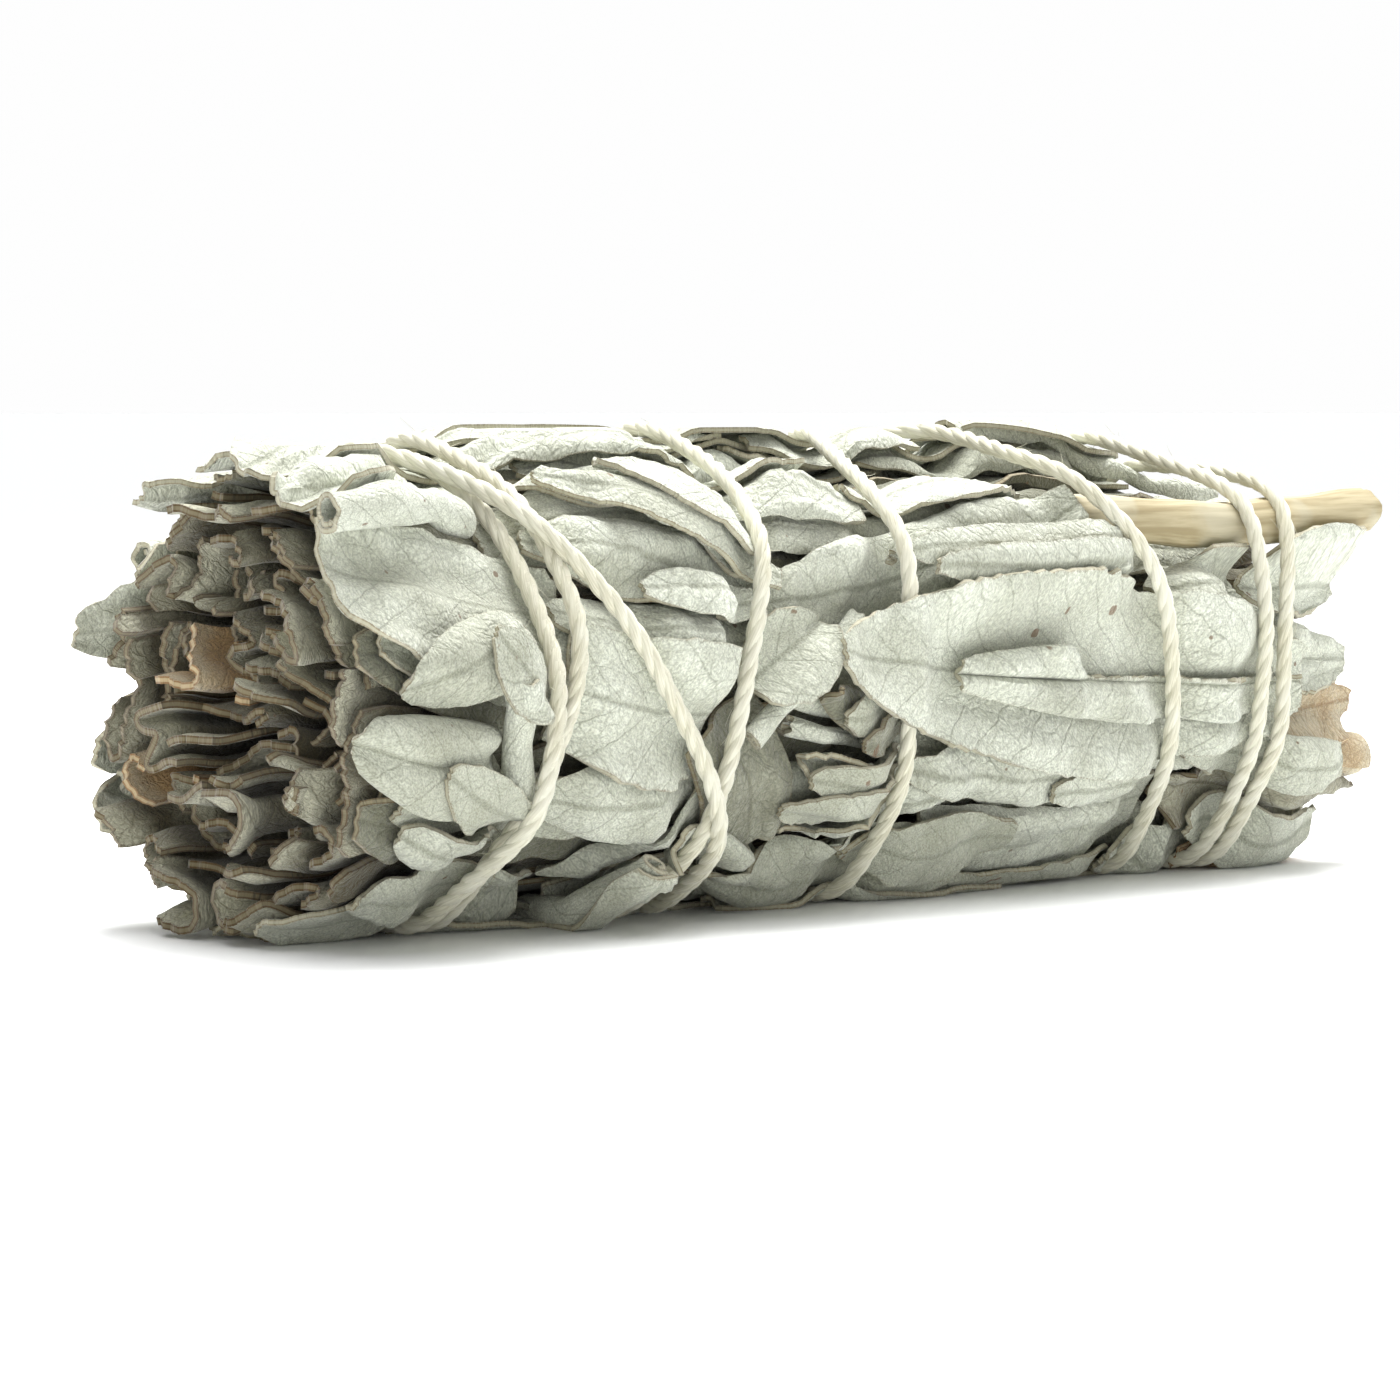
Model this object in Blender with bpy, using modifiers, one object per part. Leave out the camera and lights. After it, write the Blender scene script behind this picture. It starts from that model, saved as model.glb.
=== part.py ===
"""A dried white sage bundle lying on its side: folded leaves and stems, wound round with cotton string.

The bundle lies along X with its leafy end at -X. A place in it is (x, angle, radius) round its axis:
angle 0 faces -Y, 90 is the top, -90 the underside and 180 faces +Y. Sizes are millimetres and degrees
until a mesh is filled.
"""

import math

import bmesh
import bpy
import numpy as np
from mathutils import Vector

MM = 0.001

# Whole bundle
HALF_LENGTH = 54.0
AXIS_SIDE = 1.3  # the axis lies behind the middle, because the front carries more leaves
AXIS_HEIGHT = 17.5
ARC_RADIUS = 16.0  # where the breadth of a laid blade is measured round the bundle
GAP = 0.32  # clear air between one piece and the next

# Packed leaves inside
CORE_RADIUS = 12.7
CORE_DROP = 12.2  # the core's flattened underside, below the axis
FLARE_FROM = -38.0
FLARE_LENGTH = 16.0
FLARE_SHARE = 0.12
TAPER_FROM = 22.0
TAPER_SHARE = 0.10
PACKED_BLADE = 0.7
PACKED_PITCH = 1.45
NEAR_FACE = -48.5
FAR_FACE = 37.0
LEAST_FOLD = 0.8

# Blades laid round the core
BLADE = 0.62
CRENULATION = 0.05  # share of the half breadth
MOST_REACH = 17.5  # blades swell no further than this
SWELL_SHARE = {"under": 0.0, "side": 0.15, "outer": 1.0}
PUFF = 0.5  # a blade's swelling between turns of string
REST_PUFF = 3.0  # the same for the blades underneath, which sag to the surface

# String
STRING_RADIUS = 0.7
STRING_POINTS = 188
GRIP = 1.9  # a blade lies pressed down this near the string's centreline
RELEASE = 4.5

# Centres on the end face as (angle, distance from the axis), and how much room a leaf or a stem claims
LEAF_PLACES = (
    (30.0, 8.8), (78.0, 8.8), (124.0, 8.8), (198.0, 8.8), (244.0, 8.8), (292.0, 8.8), (250.0, 3.7),
    (100.0, 4.0),
)
LEAF_LEANS = (35, 100, 160, 15, 75, 130, 60, 110)
LEAF_CLAIM = 4.2
STEM_PLACES = ((-18.0, 8.5), (161.0, 8.6), (0.0, 2.6))
STEM_SIZES = ((2.5, 54.0), (1.9, 50.5), (2.1, 51.5))  # radius, and x of the cut end
STEM_CLAIM = 4.3

# A leafy stem lying between the outer blades: places (x, angle) along it
TOP_STEM_ROUTE = ((18.0, 41.0), (26.0, 39.5), (34.0, 37.5), (43.0, 38.5), (53.2, 41.0))
TOP_STEM_RADIUS = 1.9

# Blades by course, each: tip (x, angle), base (x, angle), breadth, bow, cup, tip lift
UNDER_LEAVES = (
    (-48.0, -90.0, 45.0, -90.0, 14.6, 0.0, 0.0, 0.0),
    (-49.5, -18.0, 43.0, -18.0, 14.6, 0.0, 0.0, 0.0),
    (-48.0, 54.0, 41.0, 54.0, 14.6, 0.0, 0.0, 0.0),
    (-49.5, 126.0, 45.0, 126.0, 14.6, 0.0, 0.0, 0.0),
    (-48.0, 198.0, 43.0, 198.0, 14.6, 0.0, 0.0, 0.0),
)
SIDE_LEAVES = (
    (-36.0, 62.0, -3.0, 36.0, 9.0, 0.8, 0.5, 0.2),
    (-37.0, -22.0, -7.0, -14.0, 8.5, 0.6, 0.4, 0.2),
    (-12.0, 55.0, 25.0, 62.0, 8.5, -0.5, 0.6, 0.3),
    (9.0, -6.0, 44.0, 3.0, 10.0, 0.5, 0.3, 0.2),
    (-6.0, -38.0, 38.0, -36.0, 8.5, -0.6, 0.6, 0.3),
    (-14.0, -76.0, 36.0, -76.0, 10.0, 0.4, 0.2, 0.0),
    (-52.0, 14.0, -22.0, 0.0, 9.0, 0.6, 0.7, 0.5),
    (-51.5, -28.0, -22.0, -42.0, 9.0, 0.6, 0.6, 0.6),
    (-51.0, 54.0, -24.0, 46.0, 8.5, 0.4, 0.6, 0.5),
    (-49.5, -84.0, -16.0, -88.0, 10.0, 0.3, 0.2, 0.1),
    (-50.5, 98.0, -10.0, 92.0, 11.0, 0.5, 0.5, 0.6),
    (-48.0, 142.0, 4.0, 134.0, 11.5, 0.6, 0.5, 0.5),
    (-50.0, 190.0, 0.0, 182.0, 12.0, -0.6, 0.4, 0.6),
    (-50.0, 232.0, -4.0, 226.0, 11.0, 0.5, 0.3, 0.2),
    (-6.0, 100.0, 44.0, 92.0, 11.0, 0.5, 0.5, 0.4),
    (6.0, 150.0, 47.0, 152.0, 12.0, 0.5, 0.5, 0.5),
    (1.0, 214.0, 47.0, 212.0, 13.0, 0.4, 0.4, 0.4),
)
OUTER_LEAVES = (
    (-53.5, 34.0, -33.0, 20.0, 10.5, 1.0, 0.8, 1.0),
    (-36.0, 3.0, -17.0, -6.0, 10.0, 0.5, 0.5, 0.4),
    (-36.0, 23.0, -6.0, 12.0, 7.0, 0.7, 0.8, 0.3),
    (-34.0, 48.0, -10.0, 31.0, 6.0, 0.7, 0.9, 0.4),
    (-29.0, 76.0, -2.0, 52.0, 8.0, 0.5, 0.7, 0.4),
    (-34.0, -26.0, -18.0, -22.0, 7.0, 0.3, 0.6, 0.4),
    (-32.0, -60.0, -14.0, -38.0, 8.0, 0.4, 0.5, 0.2),
    (-16.0, -6.0, -4.0, -34.0, 7.0, 0.6, 0.8, 0.6),
    (-15.0, 28.0, 18.0, 40.0, 7.0, 0.5, 0.5, 0.3),
    (4.0, -50.0, 30.0, -46.0, 8.0, 0.5, 0.6, 0.3),
    (20.0, 16.0, 45.0, 14.0, 7.5, 0.5, 0.9, 0.4),
    (-53.0, -8.0, -40.0, -14.0, 9.0, 0.6, 0.8, 0.8),
    (-52.0, 74.0, -34.0, 80.0, 9.0, 0.5, 0.7, 0.7),
    (-53.0, 122.0, -18.0, 114.0, 9.0, 0.7, 0.7, 0.8),
    (-54.0, 166.0, -20.0, 158.0, 10.0, 0.7, 0.7, 0.9),
    (-53.0, 212.0, -22.0, 206.0, 9.5, 0.6, 0.6, 0.6),
    (-24.0, 136.0, 22.0, 126.0, 9.5, 0.8, 0.7, 0.5),
    (-16.0, 186.0, 30.0, 176.0, 10.0, 0.8, 0.6, 0.5),
    (8.0, 124.0, 50.0, 124.0, 9.0, 0.5, 0.7, 0.5),
)
REST_LEAVES = (
    (-41.0, 268.0, -20.0, 271.0, 10.5, 0.0, 2.4, 0.4),
    (-3.0, 269.0, 27.0, 270.0, 10.5, 0.0, 2.4, 0.4),
)
# The broad blade at the front lies over one turn of string and under the next, with a hooked leaf on it
FRONT_LEAF = (-10.5, 7.0, 43.0, -6.0, 12.8, 0.6, 0.2, 0.3)
HOOKED_LEAF = (4.0, -1.0, 40.0, -8.0, 5.5, 0.4, 0.9, 0.5)

# The string's turns: (turns from the top, x). It goes down the front, so the angle falls by 360 a turn
STRING_ROUTE = (
    (-0.25, 40.0), (0.0, 42.5), (0.25, 39.0), (0.5, 38.0), (0.75, 37.0), (1.0, 36.0), (1.25, 36.3),
    (1.5, 35.0), (1.75, 20.0), (2.0, 4.0), (2.15, -2.0), (2.25, -2.5), (2.4, -2.5), (2.5, -3.5),
    (2.75, -7.0), (3.0, -12.0), (3.12, -14.4), (3.25, -18.5), (3.35, -22.0), (3.5, -24.0),
    (3.75, -30.0), (4.0, -33.6), (4.15, -34.0), (4.25, -34.7), (4.35, -37.5), (4.5, -38.5),
    (4.75, -37.5), (5.0, -37.0), (5.25, -37.0), (5.35, -39.5), (5.5, -40.0), (5.75, -41.0),
    (6.0, -40.0), (6.1, -36.5), (6.15, -34.0), (6.2, -30.0), (6.25, -26.5), (6.3, -23.0),
    (6.35, -20.4), (6.45, -18.0), (6.5, -16.0), (6.75, 0.0), (7.0, 17.9), (7.1, 17.5),
    (7.15, 19.5), (7.2, 24.0), (7.25, 25.8), (7.35, 27.5), (7.5, 30.0), (7.75, 40.0),
)
FRONT_OVER_STRING = (-8.0, 6.0, 40.0)  # it covers the string between these x, up to this angle
KNOT_PLACE = (40.0, 180.0)
KNOT_SIZE = 2.5
KNOT_RISE = 0.85
KNOT_TAILS = ((47.0, 190.0), (46.0, 166.0))

# Colours: base colour, roughness
COLOURS = {
    "packed": ((0.42, 0.40, 0.30), 0.9),
    "under": ((0.45, 0.45, 0.38), 0.9),
    "side": ((0.55, 0.56, 0.49), 0.85),
    "outer": ((0.63, 0.65, 0.58), 0.85),
    "stem": ((0.58, 0.48, 0.31), 0.8),
    "string": ((0.80, 0.76, 0.66), 0.9),
}

LATTICE = np.array(
    [(i, j, 12 - i - j) for i in range(13) for j in range(13 - i)], float
) / 12


def clear_scene():
    for obj in list(bpy.data.objects):
        bpy.data.objects.remove(obj)


def to_points(x, angle, radius):
    """Points in space for places in the bundle."""
    a = np.radians(angle)
    x, y, z = np.broadcast_arrays(
        x, AXIS_SIDE - radius * np.cos(a), AXIS_HEIGHT + radius * np.sin(a)
    )
    return np.stack([x, y, z], axis=-1)


def to_places(points):
    """(x, angle, radius) of points in space."""
    y, z = points[..., 1] - AXIS_SIDE, points[..., 2] - AXIS_HEIGHT
    return points[..., 0], np.degrees(np.arctan2(z, -y)), np.hypot(y, z)


def smooth(share):
    share = np.clip(share, 0, 1)
    return share * share * (3 - 2 * share)


def core_scale(x):
    """The core flares at the leafy end and narrows towards the stems."""
    flare = FLARE_SHARE * np.clip((FLARE_FROM - x) / FLARE_LENGTH, 0, 1.2) ** 1.5
    taper = TAPER_SHARE * smooth((x - TAPER_FROM) / (HALF_LENGTH - TAPER_FROM))
    return 1 + flare - taper


def core_reach(x, angle):
    """Radius of the packed core, flattened underneath where the bundle rests."""
    down = np.maximum(-np.sin(np.radians(angle)), 0.05)
    return np.minimum(CORE_RADIUS * core_scale(x), CORE_DROP / down)


def floor_limit(angle, clearance):
    """Radius at which a point is this far above the surface that the bundle lies on."""
    down = np.maximum(-np.sin(np.radians(angle)), 0.05)
    return (AXIS_HEIGHT - clearance) / down


class Reach:
    """How far out the bundle reaches so far, on a grid of x and angle."""

    X_STEP = 0.5
    ANGLE_STEP = 2.0

    def __init__(self):
        self.start = -HALF_LENGTH - 4
        count = int(2 * (HALF_LENGTH + 4) / self.X_STEP) + 1
        x = self.start + self.X_STEP * np.arange(count)
        angle = self.ANGLE_STEP * np.arange(int(360 / self.ANGLE_STEP))
        self.top = core_reach(x[:, None], angle[None, :])
        self.widen()

    def cells(self, x, angle):
        i = np.round((x - self.start) / self.X_STEP).astype(int)
        j = np.round(angle / self.ANGLE_STEP).astype(int)
        return np.clip(i, 0, self.top.shape[0] - 1), j % self.top.shape[1]

    def widen(self):
        """Each cell's highest neighbour, so that pieces keep clear sideways too."""
        shifted = [np.roll(self.top, (i, j), (0, 1)) for i in (-1, 0, 1) for j in (-1, 0, 1)]
        self.wide = np.max(shifted, axis=0)

    def exact(self, x, angle):
        return self.top[self.cells(x, angle)]

    def around(self, x, angle):
        return self.wide[self.cells(x, angle)]

    def add(self, triangles):
        x, angle, radius = to_places(np.einsum("kc,ncd->nkd", LATTICE, triangles).reshape(-1, 3))
        np.maximum.at(self.top, self.cells(x, angle), radius)
        self.widen()


def curve_through(knots, at):
    """A smooth curve through (place, value) pairs, read at places."""
    places, values = np.array(knots, float).T
    slopes = np.gradient(values, places)
    k = np.clip(np.searchsorted(places, at, side="right") - 1, 0, len(places) - 2)
    width = places[k + 1] - places[k]
    s = (at - places[k]) / width
    near = (1 + 2 * s) * (1 - s) ** 2 * values[k] + s * (1 - s) ** 2 * width * slopes[k]
    far = s * s * (3 - 2 * s) * values[k + 1] + s * s * (s - 1) * width * slopes[k + 1]
    return near + far


def string_places(count):
    """(x, angle) of points spaced evenly in turns along the string."""
    turns = np.linspace(STRING_ROUTE[0][0], STRING_ROUTE[-1][0], count)
    return curve_through(STRING_ROUTE, turns), 90 - 360 * turns


def apart(x, angle, other_x, other_angle):
    """Distance along the bundle's surface between two sets of places."""
    turn = (angle[:, None] - other_angle[None, :] + 180) % 360 - 180
    return np.hypot(x[:, None] - other_x[None, :], np.radians(turn) * ARC_RADIUS)


def looseness(x, angle):
    """0 where the string presses a blade down, 1 well between its turns."""
    string_x, string_angle = string_places(900)
    near = apart(x, angle, string_x, string_angle).min(axis=1)
    return smooth((near - GRIP) / (RELEASE - GRIP))


def material_of(kind):
    if kind in bpy.data.materials:
        return bpy.data.materials[kind]
    colour, roughness = COLOURS[kind]
    material = bpy.data.materials.new(kind)
    material.use_nodes = True
    shader = material.node_tree.nodes["Principled BSDF"]
    shader.inputs["Base Color"].default_value = (*colour, 1)
    shader.inputs["Roughness"].default_value = roughness
    return material


def add_object(name, data, kind, collection):
    obj = bpy.data.objects.new(name, data)
    obj.data.materials.append(material_of(kind))
    collection.objects.link(obj)
    return obj


def triangles_of(obj):
    """The object's evaluated triangles, in millimetres."""
    bpy.context.view_layer.update()
    evaluated = obj.evaluated_get(bpy.context.evaluated_depsgraph_get())
    mesh = evaluated.to_mesh()
    mesh.calc_loop_triangles()
    points = np.array([v.co for v in mesh.vertices]) / MM
    faces = np.array([t.vertices for t in mesh.loop_triangles])
    evaluated.to_mesh_clear()
    return points[faces]


def grid_of(rows, columns):
    """A grid mesh split into triangles, with each vertex's two shares of the way across it."""
    bm = bmesh.new()
    bmesh.ops.create_grid(bm, x_segments=rows, y_segments=columns, size=1)
    bmesh.ops.triangulate(bm, faces=bm.faces, quad_method="FIXED")
    bm.verts.index_update()
    shares = np.array([((v.co.x + 1) / 2, (v.co.y + 1) / 2) for v in bm.verts])
    faces = np.array([[v.index for v in f.verts] for f in bm.faces])
    return bm, shares, faces


def sheet_object(name, bm, points, thickness, offset, kind, collection):
    """Moves a grid's vertices to these points and gives it thickness, outwards where offset is 1."""
    for vert, point in zip(bm.verts, points):
        vert.co = point * MM
    bm.normal_update()
    axis = Vector((0, AXIS_SIDE * MM, AXIS_HEIGHT * MM))
    outward = 0
    for face in bm.faces:
        way = face.calc_center_median() - axis
        outward += face.normal.y * way.y + face.normal.z * way.z
    if outward < 0:
        bmesh.ops.reverse_faces(bm, faces=bm.faces)
    mesh = bpy.data.meshes.new(name)
    bm.to_mesh(mesh)
    bm.free()
    obj = add_object(name, mesh, kind, collection)
    wall = obj.modifiers.new("Thickness", "SOLIDIFY")
    wall.thickness = thickness * MM
    wall.offset = offset
    wall.use_even_offset = offset == 0
    return obj


def clip(polygon, normal, limit):
    """The part of a convex polygon where normal . point is at most limit."""
    kept = []
    for a, b in zip(polygon, np.roll(polygon, -1, axis=0)):
        over_a, over_b = a @ normal - limit, b @ normal - limit
        if over_a <= 0:
            kept.append(a)
        if over_a * over_b < 0:
            kept.append(a + (b - a) * over_a / (over_a - over_b))
    return np.array(kept)


def centres_of(places):
    angle, ring = np.radians([a for a, _ in places]), np.array([r for _, r in places])
    return np.stack([-ring * np.cos(angle), ring * np.sin(angle)], axis=1)


def cell_of(k, inset):
    """The convex cell round one centre, shrunk by inset."""
    centres = centres_of(LEAF_PLACES + STEM_PLACES)
    claims = [LEAF_CLAIM] * len(LEAF_PLACES) + [STEM_CLAIM] * len(STEM_PLACES)
    around = np.radians(np.arange(0, 360, 9))
    polygon = (CORE_RADIUS - inset - GAP) * np.stack([np.cos(around), np.sin(around)], axis=1)
    for other in range(len(centres)):
        if other == k:
            continue
        way = centres[other] - centres[k]
        far = np.linalg.norm(way)
        share = (far**2 + claims[k] ** 2 - claims[other] ** 2) / (2 * far)
        normal = way / far
        polygon = clip(polygon, normal, centres[k] @ normal + share - inset - GAP / 2)
    return polygon


def chord(polygon, height, half):
    """Least and greatest x of the polygon between height - half and height + half."""
    lows, highs = [], []
    for level in (height - half, height + half):
        crossings = [
            a[0] + (b[0] - a[0]) * (level - a[1]) / (b[1] - a[1])
            for a, b in zip(polygon, np.roll(polygon, -1, axis=0))
            if (a[1] - level) * (b[1] - level) < 0
        ]
        lows.append(min(crossings, default=0))
        highs.append(max(crossings, default=0))
    return max(lows), min(highs)


def folds_of(polygon):
    """(height, left, right) of each fold inside a convex polygon, and where each turns into the next."""
    levels = np.linspace(polygon[:, 1].min(), polygon[:, 1].max(), 60)[1:-1]
    wide = [h for h in levels if np.diff(chord(polygon, h, 0.05))[0] > PACKED_PITCH + 0.4]
    heights = np.linspace(wide[0], wide[-1], int((wide[-1] - wide[0]) / PACKED_PITCH) + 1)
    rows = [(h, *chord(polygon, h, 0.05)) for h in heights]
    half = (heights[1] - heights[0]) / 2
    turns = [
        min(one[2], two[2]) - half if k % 2 == 0 else max(one[1], two[1]) + half
        for k, (one, two) in enumerate(zip(rows, rows[1:]))
    ]
    return rows, turns, half


def meander(polygon, wanted_lean):
    """The longest path folded to and fro inside a convex polygon, its folds near the wanted lean."""
    found = []
    for off in range(-40, 41, 10):
        turn = math.radians(wanted_lean + off)
        axes = np.array([[math.cos(turn), math.sin(turn)], [-math.sin(turn), math.cos(turn)]])
        rows, turns, half = folds_of(polygon @ axes.T)
        stops = [rows[0][1], *turns, rows[-1][2 if len(rows) % 2 else 1]]
        lengths = [(b - a) * (-1) ** k for k, (a, b) in enumerate(zip(stops, stops[1:]))]
        if min(lengths) > LEAST_FOLD:
            found.append((sum(lengths), off, axes, rows, half, stops, lengths))
    _, _, axes, rows, half, stops, lengths = max(found, key=lambda one: one[0])
    path = []
    for k, (height, _, _) in enumerate(rows):
        steps = max(2, round(lengths[k] / 2.2) + 1)
        path += [(x, height) for x in np.linspace(stops[k], stops[k + 1], steps)]
        if k + 1 < len(rows):
            for around in np.radians((-50, 0, 50)):
                out = half * math.cos(around) * (-1) ** k
                path.append((stops[k + 1] + out, height + half + half * math.sin(around)))
    return np.array(path) @ axes


def ripple(places):
    """Bends every packed leaf alike, so that none crosses its neighbour."""
    y, z = places[:, 0], places[:, 1]
    bent = places.copy()
    bent[:, 0] += 0.4 * np.sin(0.75 * z + 0.9) + 0.22 * np.sin(1.6 * z + 0.5 * y)
    bent[:, 1] += 0.4 * np.sin(0.8 * y + 2.1) + 0.22 * np.sin(1.5 * y - 0.6 * z)
    within = smooth((CORE_RADIUS - 0.8 - np.hypot(y, z)) / 3.0)
    return places + (bent - places) * within[:, None]


def near_end(path, phase):
    """Where each point of a folded leaf ends, on an uneven face with a hollow at the upper back."""
    y, z = path[:, 0], path[:, 1]
    hollow = 3.0 * np.exp(-((y - 8) ** 2 + (z - 7) ** 2) / 12)
    uneven = 1.2 * np.sin(0.5 * y + 1.1) * np.cos(0.45 * z) + 0.8 * np.sin(1.3 * np.arange(len(y)) + phase)
    return NEAR_FACE + hollow + uneven


def add_packed_leaves(collection):
    for k, lean in enumerate(LEAF_LEANS):
        polygon = cell_of(k, PACKED_BLADE / 2 + 0.12)
        path = ripple(meander(polygon, lean))
        bm, shares, _ = grid_of(len(path) - 1, 4)
        near = near_end(path, k)
        along = np.round(shares[:, 0] * (len(path) - 1)).astype(int)
        station = np.round(shares[:, 1] * 4).astype(int)
        far = FAR_FACE + 1.5 * math.sin(2.4 * k)
        stops = [near, near + 5, near * 0 - 37, near * 0 + 18, near * 0 + far]
        x = np.stack(stops)[station, along]
        y, z = path[along, 0], path[along, 1]
        angle = np.degrees(np.arctan2(z, -y))
        radius = np.hypot(y, z) * core_reach(x, angle) / CORE_RADIUS
        points = to_points(x, angle, radius)
        sheet_object(f"packed_leaf_{k + 1:02d}", bm, points, PACKED_BLADE, 0, "packed", collection)


def breadth_at(u):
    """Half breadth of a sage blade, as a share, from its base to its blunt tip."""
    return np.sin(math.pi * (0.11 + 0.83 * u)) ** 0.6


def highest_below(reach, points, faces):
    """For each triangle of a sheet, where its points lie and how far out what is below them reaches."""
    x, angle, radius = to_places(np.einsum("kc,ncd->nkd", LATTICE, points[faces]))
    return reach.around(x, angle) + GAP, radius


def spread(per_face, faces, count, start):
    """The greatest of its triangles' values at each vertex."""
    at = np.full(count, start, float)
    for corner in range(3):
        np.maximum.at(at, faces[:, corner], per_face)
    return at


def draped(reach, x, angle, faces, turn):
    """The lowest radii that keep every point of a sheet clear of what lies below."""
    count = len(x)
    below, _ = highest_below(reach, to_points(x, angle, CORE_RADIUS), faces)
    radius = spread(below.max(axis=1), faces, count, 0) * 1.012
    for settle in range(32):
        lower = np.where(turn == settle % 4, radius - 0.25, radius)
        below, height = highest_below(reach, to_points(x, angle, lower), faces)
        blocked = spread((below - height).max(axis=1), faces, count, -9) > 0
        radius = np.where(blocked, radius, lower)
    return radius


def eased(radius, faces):
    """Each vertex's mean with its neighbours."""
    total, count = radius.copy(), np.ones(len(radius))
    for a, b in ((0, 1), (1, 2), (2, 0)):
        for one, other in ((a, b), (b, a)):
            np.add.at(total, faces[:, one], radius[faces[:, other]])
            np.add.at(count, faces[:, one], 1)
    return total / count


def lay_blade(name, leaf, reach, kind, collection, rows=9, columns=4, puff=PUFF):
    """Lays one blade on what is there, lets it swell between turns of string, and adds it."""
    tip_x, tip_angle, base_x, base_angle, breadth, bow, cup, lift = leaf
    bm, shares, faces = grid_of(rows, columns)
    u, v = shares[:, 0], 2 * shares[:, 1] - 1
    base = np.array([base_x, math.radians(base_angle) * ARC_RADIUS])
    way = np.array([tip_x, math.radians(tip_angle) * ARC_RADIUS]) - base
    across = np.array([-way[1], way[0]]) / np.linalg.norm(way)
    row = np.round(u * rows)
    half = breadth / 2 * breadth_at(u) * (1 + CRENULATION * (-1) ** row * np.abs(v))
    flat = base + u[:, None] * way + across * (bow * np.sin(math.pi * u) + v * half)[:, None]
    x, angle = flat[:, 0], np.degrees(flat[:, 1] / ARC_RADIUS)
    x = np.clip(x, -HALF_LENGTH, HALF_LENGTH)
    turn = (np.round(u * rows) % 2 + 2 * (np.round(shares[:, 1] * columns) % 2)).astype(int)
    radius = draped(reach, x, angle, faces, turn)
    radius = np.maximum(radius, eased(radius, faces) - 0.15)
    crease = 0.45 * np.exp(-((v / 0.3) ** 2)) * (1 - 0.6 * u)
    wave = 0.35 * (1 + np.sin(5.3 * u + 2.1 * v + tip_x)) / 2
    swell = puff * np.sin(math.pi * u) + cup * v * v + crease + wave + lift * u**3
    swell *= SWELL_SHARE[kind] * looseness(x, angle)
    limit = np.minimum(floor_limit(angle, BLADE), MOST_REACH)
    radius = np.maximum(radius, np.minimum(radius + swell, limit))
    obj = sheet_object(name, bm, to_points(x, angle, radius), BLADE, 1, kind, collection)
    reach.add(triangles_of(obj))


def tube_object(name, points, depth, kind, collection):
    curve = bpy.data.curves.new(name, "CURVE")
    curve.dimensions = "3D"
    curve.bevel_depth = depth * MM
    curve.bevel_resolution = 2
    curve.use_fill_caps = True
    spline = curve.splines.new("POLY")
    spline.points.add(len(points) - 1)
    for target, point in zip(spline.points, points):
        target.co = (*(point * MM), 1)
    return add_object(name, curve, kind, collection)


def add_stems(reach, collection):
    """Stems packed among the leaves, then the one that lies between the outer blades."""
    centres = ripple(centres_of(STEM_PLACES))
    for k, ((y, z), (radius, end)) in enumerate(zip(centres, STEM_SIZES)):
        x = np.array([-12.0, 12.0, 30.0, 42.0, end])
        angle = math.degrees(math.atan2(z, -y))
        across = math.hypot(y, z) * core_reach(x, angle) / CORE_RADIUS
        tube_object(f"stem_{k + 1}", to_points(x, angle, across), radius, "stem", collection)
    x = np.linspace(TOP_STEM_ROUTE[0][0], TOP_STEM_ROUTE[-1][0], 12)
    angle = curve_through(TOP_STEM_ROUTE, x)
    centre = np.max([reach.around(x, angle + turn) for turn in (-6, 0, 6)], axis=0)
    centre = centre.max() * np.ones(len(x)) + GAP + TOP_STEM_RADIUS
    obj = tube_object("stem_4", to_points(x, angle, centre), TOP_STEM_RADIUS, "stem", collection)
    reach.add(triangles_of(obj))


def string_heights(reach, x, angle):
    """Radius of the taut string's centreline at each point, clear of blades and of its own turns."""
    count = len(x)
    at = np.linspace(0, count - 1, (count - 1) * 8 + 1)
    lower = np.floor(at).astype(int)
    upper = np.minimum(lower + 1, count - 1)
    share = at - lower
    fine_x, fine_angle = np.interp(at, np.arange(count), x), np.interp(at, np.arange(count), angle)
    clear = STRING_RADIUS + GAP
    need = np.zeros(len(at))
    for along in np.linspace(-clear, clear, 7):
        for across in np.linspace(-clear, clear, 7):
            off = math.hypot(along, across)
            if off < clear:
                turned = fine_angle + math.degrees(across / ARC_RADIUS)
                over = reach.exact(fine_x + along, turned)
                need = np.maximum(need, over + math.sqrt(clear**2 - off**2))
    need /= math.cos(math.radians(abs(angle[1] - angle[0])) / 2)
    space = 2 * STRING_RADIUS + 0.2
    near = apart(fine_x, fine_angle, fine_x, fine_angle)
    crossing = (at[:, None] - at[None, :] > count / 20) & (near < space)
    step = np.sqrt(np.clip(space**2 - near**2, 0, None))
    taut = math.cos(math.radians(angle[0] - angle[1]))
    height = np.full(count, need.min())
    for _ in range(60):
        height[1:-1] = np.maximum(height[1:-1], taut * (height[:-2] + height[2:]) / 2)
        here = height[lower] * (1 - share) + height[upper] * share
        over_self = np.where(crossing, here[None, :] + step, 0).max(axis=1)
        short = np.maximum(need, over_self) - here
        raised = height.copy()
        np.maximum.at(raised, lower, height[lower] + np.where(share < 0.7, short, 0))
        np.maximum.at(raised, upper, height[upper] + np.where(share > 0.3, short, 0))
        height = raised
    return height


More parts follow.
